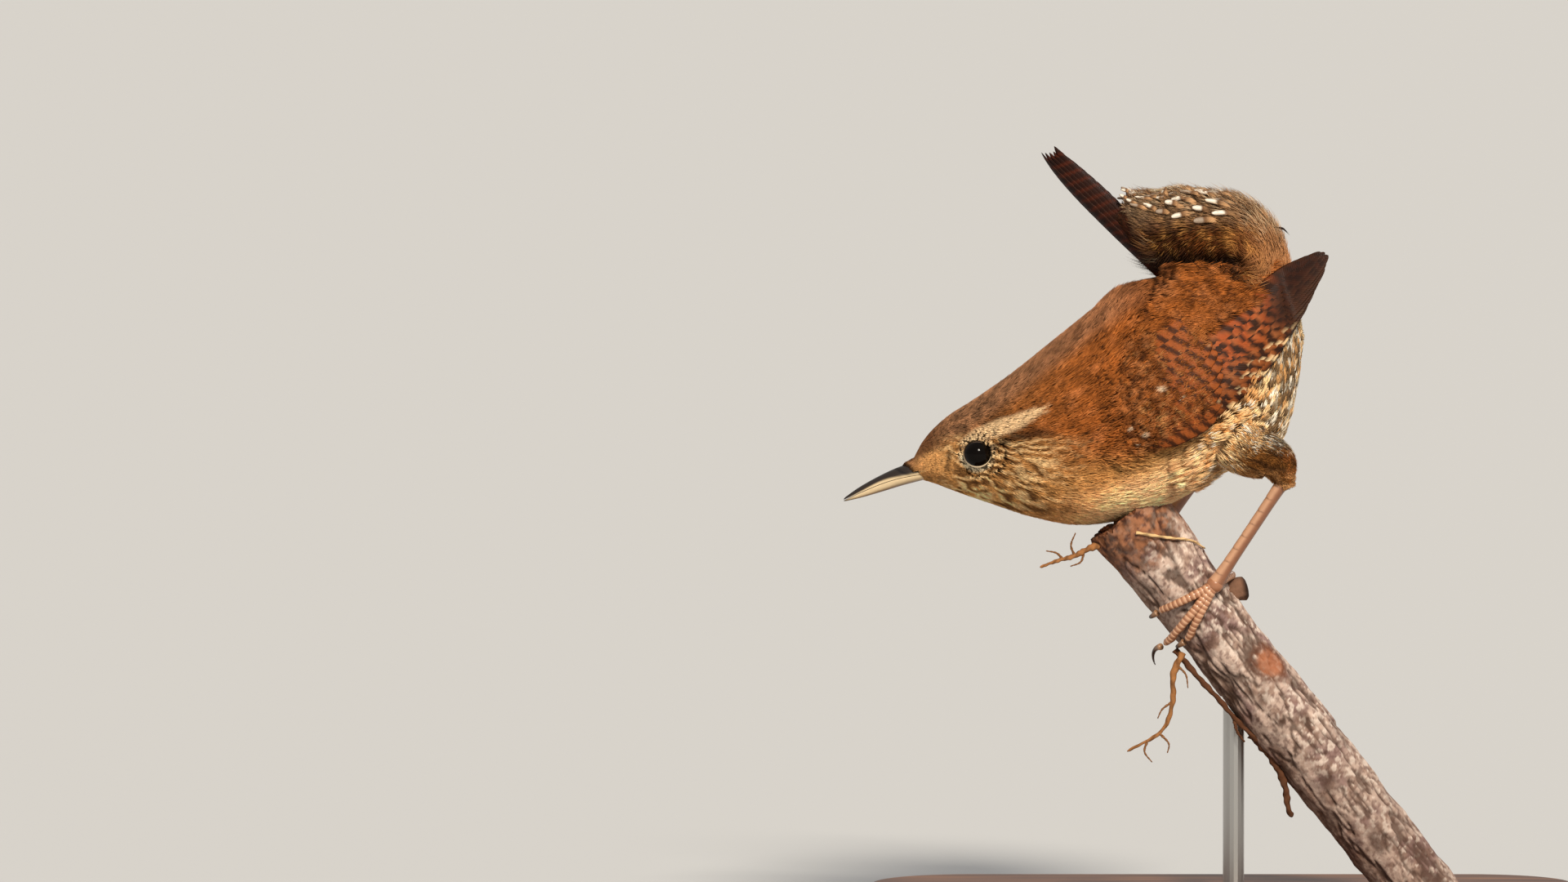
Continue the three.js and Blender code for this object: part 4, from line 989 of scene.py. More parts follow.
def flank_tufts(side):
    """The flecked tufts of one flank."""
    roots = rows_on(on_body, (6.6, 11.7), (0.25, np.pi), lambda t: 0.86)
    roots[:, 1] = roots[:, 1] * side
    x, up = seen(on_body(roots[:, 0], roots[:, 1], 0.0))
    below = np.interp(x, FLANK_TOP[0], FLANK_TOP[1]) - up
    start = -10 + 6 * rng.random(len(x))
    keep = (below > -0.6) & (below < 9 + 9 * ease(3, 7, x)) & (x > start) & (up > 58.5)
    roots, x, below = roots[keep], x[keep], below[keep]
    count = len(roots)
    angle = np.radians(np.interp(x, [-9, -2, 4, 10], [24, 42, 58, 74])) + rng.normal(0, 0.12, count)
    way = np.stack([np.cos(angle), -side * 0.1 * np.ones(count), np.sin(angle)], 1)
    own = flank_tones(ease(1.5, 5.5, x))
    over_wing = ease(3.2, 0.4, below) * ease(-6, -1, x) * (1 - 0.6 * ease(2, 5, x))
    look = {
        "barbs": 9,
        "length": rng.uniform(2.0, 3.2, count),
        "width": 0.2,
        "spread": rng.uniform(0.28, 0.45, count),
        "sunk": -0.7,
        "raised": 0.25 + 1.5 * over_wing + rng.uniform(0, 0.35, count),
        "stray": 0.1,
        "shade": rng.uniform(0.85, 1.12, count) * (1 - 0.32 * ease(4, 8, x)),
        "own": own,
        "own_share": ease(-9, -2, x) * 0.85 * ease(18, 10, below),
        "root_tone": 0.6,
    }
    return grow_tufts(on_body, roots, lie_towards(on_body, roots, way), look, markings, body_bake)


for name, side in SIDES.items():
    coat_piece("coat_flank_" + name, flank_tufts(side))

# %% [markdown]
# The rump, the fluff under the tail and the thighs wear the same kind of tuft, grown over their own forms.
# Here the barbs are longer and looser, and more of them stray, because this plumage is soft and the bird has
# raised it.

# %% Rump and thigh coats
rump_bake = bake_round(RUMP_LAST, 0.02)


def rump_tufts():
    """The rump's loose tufts. Those that face the back hang down to it, and those by the tail are dark."""
    roots = rows_on(on_rump, (0.25, 4.75), (0, FULL), lambda t: 0.66)
    count = len(roots)
    facing = np.cos(roots[:, 1])
    under = ease(-0.2, -0.8, facing)
    points = on_rump(roots[:, 0], roots[:, 1], 0.0)
    along = unit(on_rump(roots[:, 0] + 0.05, roots[:, 1], 0.0) - points)
    hang = (0.55 * ease(0.5, -0.4, facing) * ease(4.8, 3.5, roots[:, 0]))[:, None]
    tail_side = ease(0.5, -0.5, (points[:, 0] + 14) * 0.764 + (seen(points)[1] - 97.6) * 0.645)
    loose = 1 - tail_side
    way = along * (1 - hang) + unit(np.array([0.35, 0, -1.0])) * hang + rng.normal(0, 0.07, (count, 3))
    way = unit(way * loose[:, None] + np.array([-0.72, 0, 0.69]) * tail_side[:, None])
    dark = mix(tone(40, 14, 5), tone(92, 38, 12), rng.random(count) ** 2)
    rough_rim = ease(0.35, 0.9, facing) * ease(0.9, 1.4, roots[:, 0])
    rim_tones = np.array([tone(206, 178, 142), tone(120, 84, 54), tone(168, 120, 80)])
    own = mix(rim_tones[rng.integers(0, 3, count)], dark, tail_side)
    size = (3.4 + 0.8 * under) * (0.6 + 0.4 * ease(5.0, 3.6, roots[:, 0]))
    fluff = under * loose
    look = {
        "barbs": 9,
        "length": size * rng.uniform(0.8, 1.2, count),
        "width": 0.12,
        "spread": 0.6 - 0.3 * tail_side,
        "sunk": -0.8,
        "raised": rng.uniform(0.1, 0.5 + 0.5 * rough_rim, count) * (1 - 0.7 * tail_side) + 1.6 * fluff,
        "stray": 0.12 + 0.2 * rough_rim + 0.25 * fluff - 0.08 * tail_side,
        "shade": rng.uniform(0.75, 1.25, count),
        "root_tone": 0.35,
        "own": own,
        "own_share": np.maximum(tail_side * 0.95, 0.7 * rough_rim),
    }
    return grow_tufts(on_rump, roots, lie_towards(on_rump, roots, way), look, rump_markings, rump_bake)


def odd_feathers():
    """One stray dark feather at the back of the rump, and a few pale hairs standing on its top."""
    roots = np.array([[1.6, 0.3], [3.55, 0.1], [3.75, -0.1], [3.9, 0.2], [4.05, 0.0], [4.2, 0.15]])
    stray = np.arange(len(roots)) == 0
    way = unit(np.where(stray[:, None], [0.9, -0.1, 0.42], [-0.75, 0, 0.66]))
    look = {
        "barbs": 5,
        "length": np.where(stray, 2.9, 1.7),
        "width": np.where(stray, 0.3, 0.07),
        "spread": np.where(stray, 0.2, 0.45),
        "sunk": 0.0,
        "raised": np.where(stray, 1.3, 1.1),
        "stray": 0.05,
        "shade": 1.0,
        "own": np.where(stray[:, None], SOOT, tone(216, 190, 140)),
        "own_share": 1.0,
    }
    return grow_tufts(on_rump, roots, lie_towards(on_rump, roots, way), look, markings, rump_bake)


def thigh_tufts(name):
    """The tufts of one thigh, and a short way down the shank, with a little wander in their lie."""
    place = on_thigh(name)
    roots = rows_on(place, (0.02, 1.3), (0, FULL), lambda t: 0.44 - 0.14 * min(t, 1))
    share, count = roots[:, 0], len(roots)
    x, up = seen(place(roots[:, 0], roots[:, 1], 0.0))
    flank = in_flank(x, up, rng.uniform(-0.7, 0.7, count))
    rear = ease(2.5, 6.0, x)
    own = flank_tones(rear)
    look = {
        "barbs": 7,
        "length": np.interp(share, [0, 0.6, 1, 1.3], [2.4, 1.6, 1.0, 0.6]) * rng.uniform(0.8, 1.2, count),
        "width": np.interp(share, [0, 1], [0.15, 0.09]),
        "spread": 0.36,
        "sunk": -0.4,
        "raised": np.interp(share, [0, 0.7, 1, 1.3], [0.3, 0.25, 0.1, 0.0]),
        "stray": 0.1,
        "shade": rng.uniform(0.8, 1.2, count) * (1 - 0.45 * flank * rear),
        "own": own,
        "own_share": flank * 0.9,
    }
    way = rng.normal(0, 0.2, count)
    lie = np.stack([np.cos(way), np.sin(way)], 1)
    return grow_tufts(place, roots, lie, look, thigh_markings, bake_round(1.4, 0.02))


coat_piece("coat_rump", rump_tufts(), odd_feathers())
for name in SIDES:
    coat_piece("coat_thigh_" + name, thigh_tufts(name))

# %% [markdown]
# A flight feather is a vane: a thin blade, thickest along its shaft, that narrows at the root and rounds at
# the tip. One helper lays a vane on any surface. Its tint is worked out from how far along and across it a
# point is. One map holds its barbs' own millimetres, and the baking map gives every vane a strip.

# %% Vane helper
VANE_STEPS = (56, 12)
VANE_THICKNESS = 0.24
SHAFT = 0.09
BARB_MAP = "barbs"
BARB_SCALE = 0.04
BARB_GAP = 0.28


def vane_shape(share, point):
    """The half width along a vane as a share of its widest. Its tip is round at point 0 and sharp at 1."""
    root = np.minimum(0.4 + 1.8 * share, 1.0)
    end = np.clip((share - 0.8 + 0.25 * point) / (0.2 + 0.25 * point), 0, 1)
    return root * np.sqrt(np.maximum(1 - end ** (2 - 0.6 * point), 0)) ** (1 + 0.5 * point)


def add_vane(form, surface, tint, root, way, length, half, low, high, roll, strip, bow=0.0, point=0.2,
             notch=0.03, scale=(1, 1), steps=VANE_STEPS):
    """Lays one vane on a surface, from its root there, along a way in millimetres.

    low and high are its heights at the root and the tip, roll lifts its lower edge, bow bends it aside, and
    strip is its number and the count of strips in the baking map.
    """
    way = np.asarray(way, float) / np.hypot(*way)
    across = np.array([-way[1], way[0]])
    number, strips = strip
    wave = number * 1.7

    def lay(u, v):
        share = 1 - (1 - u) ** 1.3
        angle = FULL * v
        edge = np.cos(angle)
        run = share * length
        wide = half * vane_shape(share, point)
        wide = wide * (1 + notch * np.sin(run * 3.1 + wave) * np.sin(run * 7.3 + 2 * wave))
        aside = edge * wide - bow * np.sin(np.pi * share)
        place = np.asarray(root) + (way * run[:, None] + across * aside[:, None]) / np.asarray(scale)
        thick = VANE_THICKNESS * np.sqrt(np.clip(wide / half, 0, 1)) * (1 - 0.4 * share)
        shaft = SHAFT * np.exp(-((edge / 0.14) ** 2)) * np.sign(np.sin(angle)) * (1 - share) ** 0.5
        base = low + (high - low) * np.minimum(share * 2.2, 1)
        crown = (roll * (1 - edge) / 2 + 0.1 * half * (1 - edge**2)) * wide / half
        height = base + crown + np.sin(angle) * thick / 2 + shaft
        return share, edge, surface(place[:, 0], place[:, 1], height)

    bake = form.loops.layers.uv.get("OFBake") or form.loops.layers.uv.new("OFBake")
    barbs = form.loops.layers.uv.get(BARB_MAP) or form.loops.layers.uv.new(BARB_MAP)
    tint_layer = form.verts.layers.float_color.get("tint") or form.verts.layers.float_color.new("tint")
    made = bmesh.ops.create_grid(form, x_segments=steps[0], y_segments=steps[1], size=0.5)["verts"]
    flat = np.array([v.co[:2] for v in made]) + 0.5
    share, edge, points = lay(flat[:, 0], flat[:, 1])
    colours = np.clip(tint(share, edge, points), 0, 1)
    order = {v: k for k, v in enumerate(made)}
    strip_u = 0.01 + 0.98 * flat[:, 0]
    strip_v = (number + 0.05 + 0.9 * flat[:, 1]) / strips
    barb_v = 0.5 + edge * half * vane_shape(share, point) * BARB_SCALE
    for face in {f for v in made for f in v.link_faces}:
        face.smooth = True
        for loop in face.loops:
            k = order[loop.vert]
            loop[bake].uv = (strip_u[k], strip_v[k])
            loop[barbs].uv = (share[k] * length * BARB_SCALE, barb_v[k])
    for k, vertex in enumerate(made):
        vertex.co = points[k] * MM
        vertex[tint_layer] = (*colours[k], 1)


print("a vane is laid from", VANE_STEPS, "steps")

# %% [markdown]
# The vane's material adds raised barbs. They are a wave in the map of the barbs' own millimetres, and slope
# away from the shaft on both sides.

# %% Vane material
def math_node(tree, operation, first, second=0.0):
    """A sum on two values, each a number or a socket, as a socket."""
    made = tree.nodes.new("ShaderNodeMath")
    made.operation = operation
    for socket, value in zip(made.inputs, (first, second)):
        if isinstance(value, float):
            socket.default_value = value
        else:
            tree.links.new(value, socket)
    return made.outputs["Value"]


# Feather vane: the tint, with raised barbs that slope away from the shaft on both sides.
vane_finish = plumage_material("vane", 0.5, 2200, 0.22)
vane_tree = vane_finish.node_tree
barb_place = vane_tree.nodes.new("ShaderNodeUVMap")
barb_place.uv_map = BARB_MAP
barb_parts = vane_tree.nodes.new("ShaderNodeSeparateXYZ")
vane_tree.links.new(barb_place.outputs["UV"], barb_parts.inputs["Vector"])
beside = math_node(vane_tree, "ABSOLUTE", math_node(vane_tree, "SUBTRACT", barb_parts.outputs["Y"], 0.5))
slope = math_node(vane_tree, "ADD", math_node(vane_tree, "MULTIPLY", beside, -1.1), barb_parts.outputs["X"])
ripple = math_node(vane_tree, "MULTIPLY", slope, FULL / (BARB_GAP * BARB_SCALE))
add_bump(vane_tree, math_node(vane_tree, "SINE", ripple), 0.3, 0.05)
print("a vane has about", VANE_STEPS[0] * VANE_STEPS[1] * 2, "triangles")

# %% [markdown]
# The folded wing has its flight feathers in a fan, lying over one another from the lowest up, with the
# greater coverts over their roots. Their bars line up across the wing: blackish, with brick red between, and
# cream dashes along the outer edge. The tip is plain dusky brown.

# %% Wings
# Each tier: how many feathers, their width, height, gain in height, roll, and lines of roots and tips.
TIERS = {
    "flight": {
        "count": 13, "width": 2.9, "height": 0.2, "gain": 0.25, "roll": 0.42,
        "roots": [(-6.6, 66.2), (-6.9, 67.2), (-7.3, 68.3), (-7.7, 69.4), (-8.1, 70.5), (-8.5, 71.6),
                  (-8.9, 72.8), (-9.4, 74.4)],
        "tips": [(7.0, 78.4), (9.2, 81.4), (11.2, 84.6), (12.5, 87.2), (13.2, 88.9), (13.3, 90.0),
                 (12.1, 90.0), (10.4, 89.2)],
    },
    "greater": {
        "count": 11, "width": 2.9, "height": 0.75, "gain": 0.2, "roll": 0.35,
        "roots": [(-10.8, 65.2), (-11.3, 67.1), (-11.7, 69.1), (-12.0, 71.1), (-12.1, 73.1), (-12.0, 75.1),
                  (-11.6, 77.1)],
        "tips": [(-1.2, 69.8), (-0.6, 72.4), (-0.6, 75.2), (-1.2, 77.6), (-2.4, 79.6), (-4.2, 81.2),
                 (-6.0, 82.6)],
    },
}
BAR_GAP = 2.0
DASH_GAP = 3.0


def flight_tint(order, length, share, edge, points):
    """The tint of a flight feather. order is 0 for the lowest and 1 for the highest."""
    x, up = seen(points)
    from_tip = length * (1 - share)
    drift = 2.2 * np.sin(37 * order) + 1.3 * np.sin(0.8 * from_tip + 20 * order)
    blotch = 2.6 * (wavy(points, 2.8, 43) - 0.5)
    bar = np.sin(FULL * (0.72 * x + 0.69 * up + 0.45 * edge) / BAR_GAP + drift + blotch)
    bar = bar + 0.9 * (wavy(points, 2.1, 45) - 0.5)
    base = mix(tone(128, 68, 30), RUST, 0.9 * ease(0.25, -0.9, bar) * ease(0.3, 0.6, order))
    base = mix(base, tone(160, 104, 64), 0.35 * ease(0.55, 0.75, wavy(points, 3.2, 41)))
    colour = mix(base, tone(26, 11, 6), 0.92 * ease(-0.15, 0.35, bar))
    dash = np.sin(FULL * from_tip / DASH_GAP + 2.2 * order)
    outer = ease(0.42, 0.3, order) * ease(-0.5, -0.82, edge)
    colour = mix(colour, CREAM, 0.8 * outer * ease(0.25, 0.6, dash) * ease(-3, 1, x))
    colour = mix(colour, tone(40, 22, 14), 0.7 * outer * ease(0.1, -0.3, dash))
    tip = ease(3.6, 7.2, x) * ease(78.5, 82.0, up) * ease(0.02, 0.1, order)
    colour = mix(colour, tone(40, 23, 17), 0.95 * tip)
    return mix(colour, tone(98, 60, 36), 0.3 * tip * ease(0.75, 0.95, np.abs(edge)))


def covert_tint(order, length, share, edge, points):
    """The tint of a greater covert: dark and rufous blotches across it, and a pale spot near some tips."""
    x, up = seen(points)
    bar = np.sin(FULL * (0.72 * x + 0.69 * up + 0.5 * edge) / 1.7 + 2.4 * np.sin(31 * order))
    colour = mix(tone(140, 72, 30), tone(36, 17, 8), 0.88 * ease(-0.1, 0.5, bar))
    spot = np.exp(-(((1 - share) * length - 0.5) ** 2 / 0.06 + edge**2 / 0.08))
    return mix(colour, CREAM, 0.3 * spot * (np.sin(23 * order) > 0.6))


print("bars are", BAR_GAP, "mm apart")

# %% [markdown]
# Each tier runs from the lowest feather to the highest. Roots and tips are read from two lines, and every
# feather lies a little higher than the one before.

# %% Folded wings
def build_wing(name):
    """The long feathers of one folded wing."""
    form = bmesh.new()
    jitter = np.random.default_rng(71 if name == "left" else 72)
    strips = sum(tier["count"] for tier in TIERS.values())
    strip = 0
    for kind, tier in TIERS.items():
        for k in range(tier["count"]):
            order = k / (tier["count"] - 1)
            root = smooth_at(tier["roots"], order * (len(tier["roots"]) - 1))
            tip = smooth_at(tier["tips"], order * (len(tier["tips"]) - 1))
            length = np.hypot(*(tip - root)) + jitter.uniform(-0.25, 0.25)
            kind_tint = flight_tint if kind == "flight" else covert_tint
            add_vane(
                form,
                on_wing(name),
                lambda s, e, p: kind_tint(order, length, s, e, p),
                root,
                tip - root,
                length,
                half=tier["width"] / 2,
                low=tier["height"] * 0.45,
                high=tier["height"] + tier["gain"] * order,
                roll=tier["roll"],
                strip=(strip, strips),
                bow=0.5,
                point=0.25,
            )
            strip += 1
    names = ["wing_" + name]
    finish_form(form, names[0] + "_feathers", vane_finish, names, 2e-6)


for name in SIDES:
    build_wing(name)

# %% [markdown]
# The shoulder, the small coverts and the feathers of the back that fall over the wing are too small and soft
# for vanes. They are tufts again, grown on the wing's sheet a little above the vanes. Each takes one of a few
# tones, so that together they look mottled, and towards the back they fade into its colour.

# %% Wing coverts and shoulder
# The coverts' lower edge: x, and height.
WING_HEM = [(-15.6, -13.5, -10.8, -6.5, -2.2, 1.7, 4.5, 6.7),
            (66.2, 63.9, 63.6, 65.1, 67.2, 70.9, 74.6, 78.6)]
# Their edges behind and in front: height, and x.
WING_REAR = [(63, 66, 70, 74, 78, 80, 82, 84, 86, 88), (-7, -5, -3, -4, -4.5, -3.5, -0.5, 3.5, 6.5, 7.5)]
WING_FORE = [(63, 67, 74, 80, 84, 88), (-13.0, -14.4, -14.8, -13.0, -11.0, -9)]
COVERT_GAP = 0.52
COVERT_TONES = np.array([tone(54, 27, 10), tone(128, 72, 30), tone(160, 98, 54), tone(182, 136, 82)])
COVERT_SHARES = [0.36, 0.34, 0.17, 0.13]
# Each pale spot: x, height and radius.
WHITE_SPOTS = np.array([(-8.6, 72.4, 0.58), (-10.6, 66.4, 0.5), (-12.6, 67.2, 0.36), (-5.9, 71.2, 0.28),
                        (-11.6, 65.0, 0.25)])


def from_spots(x, up):
    """The distance of points in side view from each pale spot."""
    return np.hypot(x[:, None] - WHITE_SPOTS[:, 0], up[:, None] - WHITE_SPOTS[:, 1])


def covert_paint(points):
    """The back's colours, with dark and tan blotches low on the wing and a few pale spots."""
    x, up = seen(points)
    low = ease(-15.0, -11.5, x) * ease(81.0, 76.5, up)
    patch = wavy(points, 1.7, 62)
    return layered(
        markings(points),
        (tone(44, 21, 8), 0.8 * low * ease(0.5, 0.64, patch)),
        (tone(190, 126, 78), 0.6 * low * ease(0.42, 0.28, patch)),
        (tone(236, 214, 184), 0.8 * ease(1.0, 0.4, (from_spots(x, up) / WHITE_SPOTS[:, 2]).min(1))),
    )


def covert_tufts(name):
    """The small feathers over the fore part and the top of one wing."""
    rows, columns = np.arange(-17.0, 8.5, COVERT_GAP), np.arange(63.0, 88.0, COVERT_GAP * 0.8)
    x, z = np.meshgrid(rows, columns, indexing="ij")
    roots = np.stack([x.ravel(), z.ravel()], 1) + rng.uniform(-0.3, 0.3, (x.size, 2))
    x, z = roots.T
    above_hem = z - np.interp(x, *WING_HEM)
    behind_fore = x - np.interp(z, *WING_FORE)
    short_of_rear = np.interp(z, *WING_REAR) + rng.uniform(-0.8, 0.8, len(x)) - x
    keep = (above_hem > 0.3) & (short_of_rear > 0) & (behind_fore > 0)
    roots, x, z = roots[keep], x[keep], z[keep]
    inside = np.minimum(behind_fore, above_hem * 0.8)[keep]
    count = len(roots)
    angle = np.radians(np.interp(z, [64, 70, 78, 84], [26, 34, 30, 8])) + rng.normal(0, 0.16, count)
    lie = np.stack([np.cos(angle), np.sin(angle)], 1)
    patch = wavy(np.stack([x, 0 * x, z], 1), 3.4, 61)
    mottle = ease(-15.0, -11.0, x) * ease(81.0, 76.5, z) * ease(0.3, 0.55, patch)
    own = COVERT_TONES[rng.choice(len(COVERT_TONES), count, p=COVERT_SHARES)]
    near_spot = from_spots(*(roots + 1.5 * lie).T).min(1) < 0.9
    top = 1.35 - 1.15 * ease(83.0, 86.5, z)
    look = {
        "barbs": 9,
        "length": np.interp(z, [64, 78, 84], [1.5, 1.9, 2.6]) * rng.uniform(0.85, 1.15, count),
        "width": 0.17,
        "spread": 0.5,
        "sunk": 0.2 - 0.6 * ease(2.0, 0, inside),
        "raised": top - 0.6 * ease(2.4, 0, inside) + rng.uniform(-0.1, 0.15, count),
        "stray": 0.05,
        "shade": (1 + rng.normal(0, 0.13, count)) * 0.92,
        "own": own,
        "own_share": np.where(near_spot, 0.0, 0.45 * mottle),
        "root_tone": 0.6,
    }

    def bake_at(roots):
        return 0.02 + (roots + (18, -62)) / 28

    return grow_tufts(on_wing(name), roots, lie, look, covert_paint, bake_at)


for name in SIDES:
    coat_piece("coat_wing_" + name, covert_tufts(name))

# %% [markdown]
# The tail's twelve feathers hang down both sides of a ridge like a tent, the middle pair on top. They are so
# dark that their rufous bars hardly show.

# %% Tail
TAIL = {"root": (-8.0, 86.6), "rise": np.radians(44), "radius": 2.6, "first": 0.75, "spacing": 0.62,
        "inward": 0.17, "half": 1.6, "lengths": [23.6, 23.2, 22.8, 22.5, 22.9, 20.9]}


def on_tail(distance, arc, lift):
    """The tent that the tail's feathers lie on: distance from its root, and arc from its ridge."""
    turn = arc / TAIL["radius"]
    radius = TAIL["radius"] + lift
    under = TAIL["radius"] - radius * np.cos(turn) + (distance / TAIL["lengths"][0]) ** 6
    x = TAIL["root"][0] - distance * np.cos(TAIL["rise"]) + under * np.sin(TAIL["rise"])
    z = TAIL["root"][1] + distance * np.sin(TAIL["rise"]) + under * np.cos(TAIL["rise"])
    return np.stack([x, -radius * np.sin(turn), z], -1)


def tail_tint(index, length, share, edge):
    """Very dark brown, with faint rufous bars."""
    bar = np.sin(FULL * (length * share + 0.4 * np.abs(edge)) / 1.5 + index)
    colour = mix(tone(32, 10, 4), tone(78, 28, 8), 0.6 * ease(0.2, 0.9, bar))
    return mix(colour, tone(70, 40, 22), 0.2 * ease(0.75, 1.0, np.abs(edge)))


tail_form = bmesh.new()
for side in SIDES.values():
    for index, length in enumerate(TAIL["lengths"]):
        add_vane(
            tail_form,
            on_tail,
            lambda s, e, p: tail_tint(index, length, s, e),
            (0.0, side * (TAIL["first"] + TAIL["spacing"] * index)),
            (1.0, 0.0),
            length,
            TAIL["half"],
            low=-TAIL["inward"] * index,
            high=-TAIL["inward"] * index,
            roll=0.0,
            strip=(index + (6 if side < 0 else 0), 12),
            point=0.75,
            notch=0.05,
        )
finish_form(tail_form, "tail_feathers", vane_finish, ["tail"], 2e-6)

# %% [markdown]
# Under the cocked tail, facing up and back, lie the long undertail coverts. Many end in an oblong white mark
# between dark edges, so that together they make rows of dashes.

# %% Undertail coverts
COVERT_ROWS = [2.05, 2.4, 2.75, 3.1, 3.45, 3.8, 4.15, 4.5, 4.85]
COVERT_TURNS = np.radians([-68, -50, -34, -18, -3, 12, 27, 42, 57])


def undertail_tint(number, length, share, edge):
    """Tan at the root, dark before the end, and a white oblong at the tip."""
    from_tip = length * (1 - share)
    colour = mix(tone(186, 142, 100), tone(74, 44, 24), 0.85 * ease(2.2, 1.3, from_tip))
    oblong = ease(1.35, 1.05, from_tip) * ease(0.05, 0.2, from_tip) * ease(0.85, 0.55, np.abs(edge))
    return mix(colour, WHITE, 0.95 * oblong * (0.3 + 0.7 * (number % 5 > 1)))


undertail_form = bmesh.new()
undertail_draw = np.random.default_rng(97)
undertail_count = len(COVERT_ROWS) * len(COVERT_TURNS)
for row, t in enumerate(COVERT_ROWS):
    for k, turn in enumerate(COVERT_TURNS):
        length = undertail_draw.uniform(2.6, 3.6)
        shift = undertail_draw.uniform(-0.12, 0.12, 2)
        number = row * 7 + k
        add_vane(
            undertail_form,
            on_rump,
            lambda s, e, p: undertail_tint(number, length, s, e),
            (t + shift[0], turn + (row % 2) * 0.13 + shift[1]),
            (1.0, undertail_draw.uniform(-0.4, 0.4)),
            length,
            undertail_draw.uniform(0.3, 0.42),
            low=-0.5,
            high=0.5 + undertail_draw.uniform(-0.1, 0.3),
            roll=0.1,
            strip=(row * len(COVERT_TURNS) + k, undertail_count),
            scale=(4.6, 4.8),
            steps=(26, 8),
        )
finish_form(undertail_form, "undertail_coverts", vane_finish, merge=2e-6)

# %% [markdown]
# The bill is horn: two slim halves, the upper one nearly black along its ridge and pale at the cutting edge,
# the lower one pale with a brown keel. A slit of a nostril sits in a groove on each side. Each half is a flat
# grid wrapped round a line, flat where the halves meet.

# %% Bill
# Each station: x, the heights of the ridge, the cutting edge and the keel, and the half width.
BILL = [
    (-39.4, 63.4, 61.55, 60.7, 1.8),
    (-42.6, 62.45, 60.95, 59.85, 1.4),
    (-45.2, 61.3, 60.15, 59.05, 1.0),
    (-48.0, 59.75, 58.95, 58.25, 0.62),
    (-50.2, 58.2, 57.95, 57.75, 0.25),
]
BILL_GAP = 0.12
BILL_STEPS = (90, 56)
NOSTRIL = (-42.6, 61.75)
PALE_HORN, DARK_HORN, KEEL, SLIT = tone(208, 184, 146), tone(38, 29, 24), tone(120, 84, 56), tone(18, 12, 10)


def nostril(x, z, width):
    """1 in the nostril's slit, which slopes with the ridge, fading to 0 round it."""
    away = x - NOSTRIL[0]
    return np.exp(-((away / width) ** 2 + ((z - NOSTRIL[1] + 0.35 * away) / 0.2) ** 2))


def closing(distance, over):
    """The round closing of a form's end: 0 there, and 1 from a distance of over."""
    return np.sqrt(np.clip(distance / over, 0, 1))


def bill_half(direction):
    """The surface of one half of the bill: 1 for the upper half and -1 for the lower."""

    def place(u, v):
        x, ridge, cut, keel, wide = smooth_at(BILL, u * (len(BILL) - 1)).T
        edge = ridge if direction > 0 else keel
        turn = FULL * v
        flat = cut + 0.5 * direction * BILL_GAP
        rise = np.where(np.cos(turn) > 0, np.cos(turn), 0.12 * np.cos(turn))
        close = closing(1.002 - u, 0.05)
        y = wide * np.sin(turn) * close
        z = flat + (edge - flat) * np.maximum(rise, -0.02) * (0.3 + 0.7 * close)
        if direction > 0:
            y = y - np.sign(y) * 0.3 * nostril(x, z, 0.8) * (np.abs(y) > 0.4)
        return np.stack([x, y, z], -1)

    return place


def bill_tint(direction):
    """Horn tint by height within the half."""

    def tint(u, v, points):
        x, ridge, cut, keel, _ = smooth_at(BILL, u * (len(BILL) - 1)).T
        rise = np.clip((points[:, 2] - cut) / ((ridge if direction > 0 else keel) - cut), 0, 1)
        if direction > 0:
            colour = mix(PALE_HORN, DARK_HORN, ease(0.1, 0.4, rise + 0.1 * np.sin(9 * u)))
            colour = mix(colour, SLIT, np.clip(nostril(x, points[:, 2], 0.75) * 1.2, 0, 1))
        else:
            colour = mix(PALE_HORN, KEEL, ease(0.55, 1.0, rise))
        return mix(colour, DARK_HORN, 0.8 * ease(0.78, 1.0, u))

    return tint


def horn_material(name, roughness, grain):
    """Horn or scaly skin: its tint, with a little mottling, a fine bump and a soft gloss."""
    material = plumage_material(name, roughness, grain, 0.16)
    tree = material.node_tree
    tree.nodes["Principled BSDF"].inputs["Specular IOR Level"].default_value = 0.5
    add_bump(tree, noise_on_object(tree, grain * 1.5), 0.25, 0.04)
    return material


bill_finish = horn_material("bill horn", 0.3, 1500)
for name, direction in {"bill_upper": 1, "bill_lower": -1}.items():
    place, tint = bill_half(direction), bill_tint(direction)
    wrapped_piece(name + "_half", BILL_STEPS, place, tint, bill_finish, [name])

# %% [markdown]
# Short feathers run a little way out over the bill's base, furthest along its ridge, so that the forehead
# tapers into the bill and does not stop at an edge. They are rooted on the bill and lie back.

# %% Feathers over the bill's base
def base_tufts():
    """The feathers on the base of the bill's upper half, furthest forward along its ridge."""
    place = bill_half(1)
    count = 520
    turn = rng.uniform(-0.2, 0.2, count)
    forward = rng.random(count) * np.clip(1 - 3.6 * np.abs(turn), 0.25, 1)
    roots = np.stack([0.11 + 0.15 * forward, turn % 1], 1)

    def lifted(u, v, lift):
        points = place(u, v)
        out = unit(np.stack([0 * u, points[:, 1], 1.2 * (points[:, 2] - 61.4)], 1))
        return points + out * np.asarray(lift)[..., None]

    look = {
        "barbs": 6,
        "length": rng.uniform(0.7, 1.1, count),
        "width": 0.09,
        "spread": 0.16,
        "sunk": -0.05,
        "raised": 0.12 + rng.uniform(0.3, 0.75, count) * (1 - 0.7 * forward),
        "stray": 0.04,
        "shade": rng.uniform(0.75, 1.2, count),
        "root_tone": 0.75,
    }
    lie = lie_towards(lifted, roots, np.array([1.0, 0, 0.5]))
    return grow_tufts(lifted, roots, lie, look, markings, lambda roots: roots)


coat_piece("coat_bill_base", base_tufts())

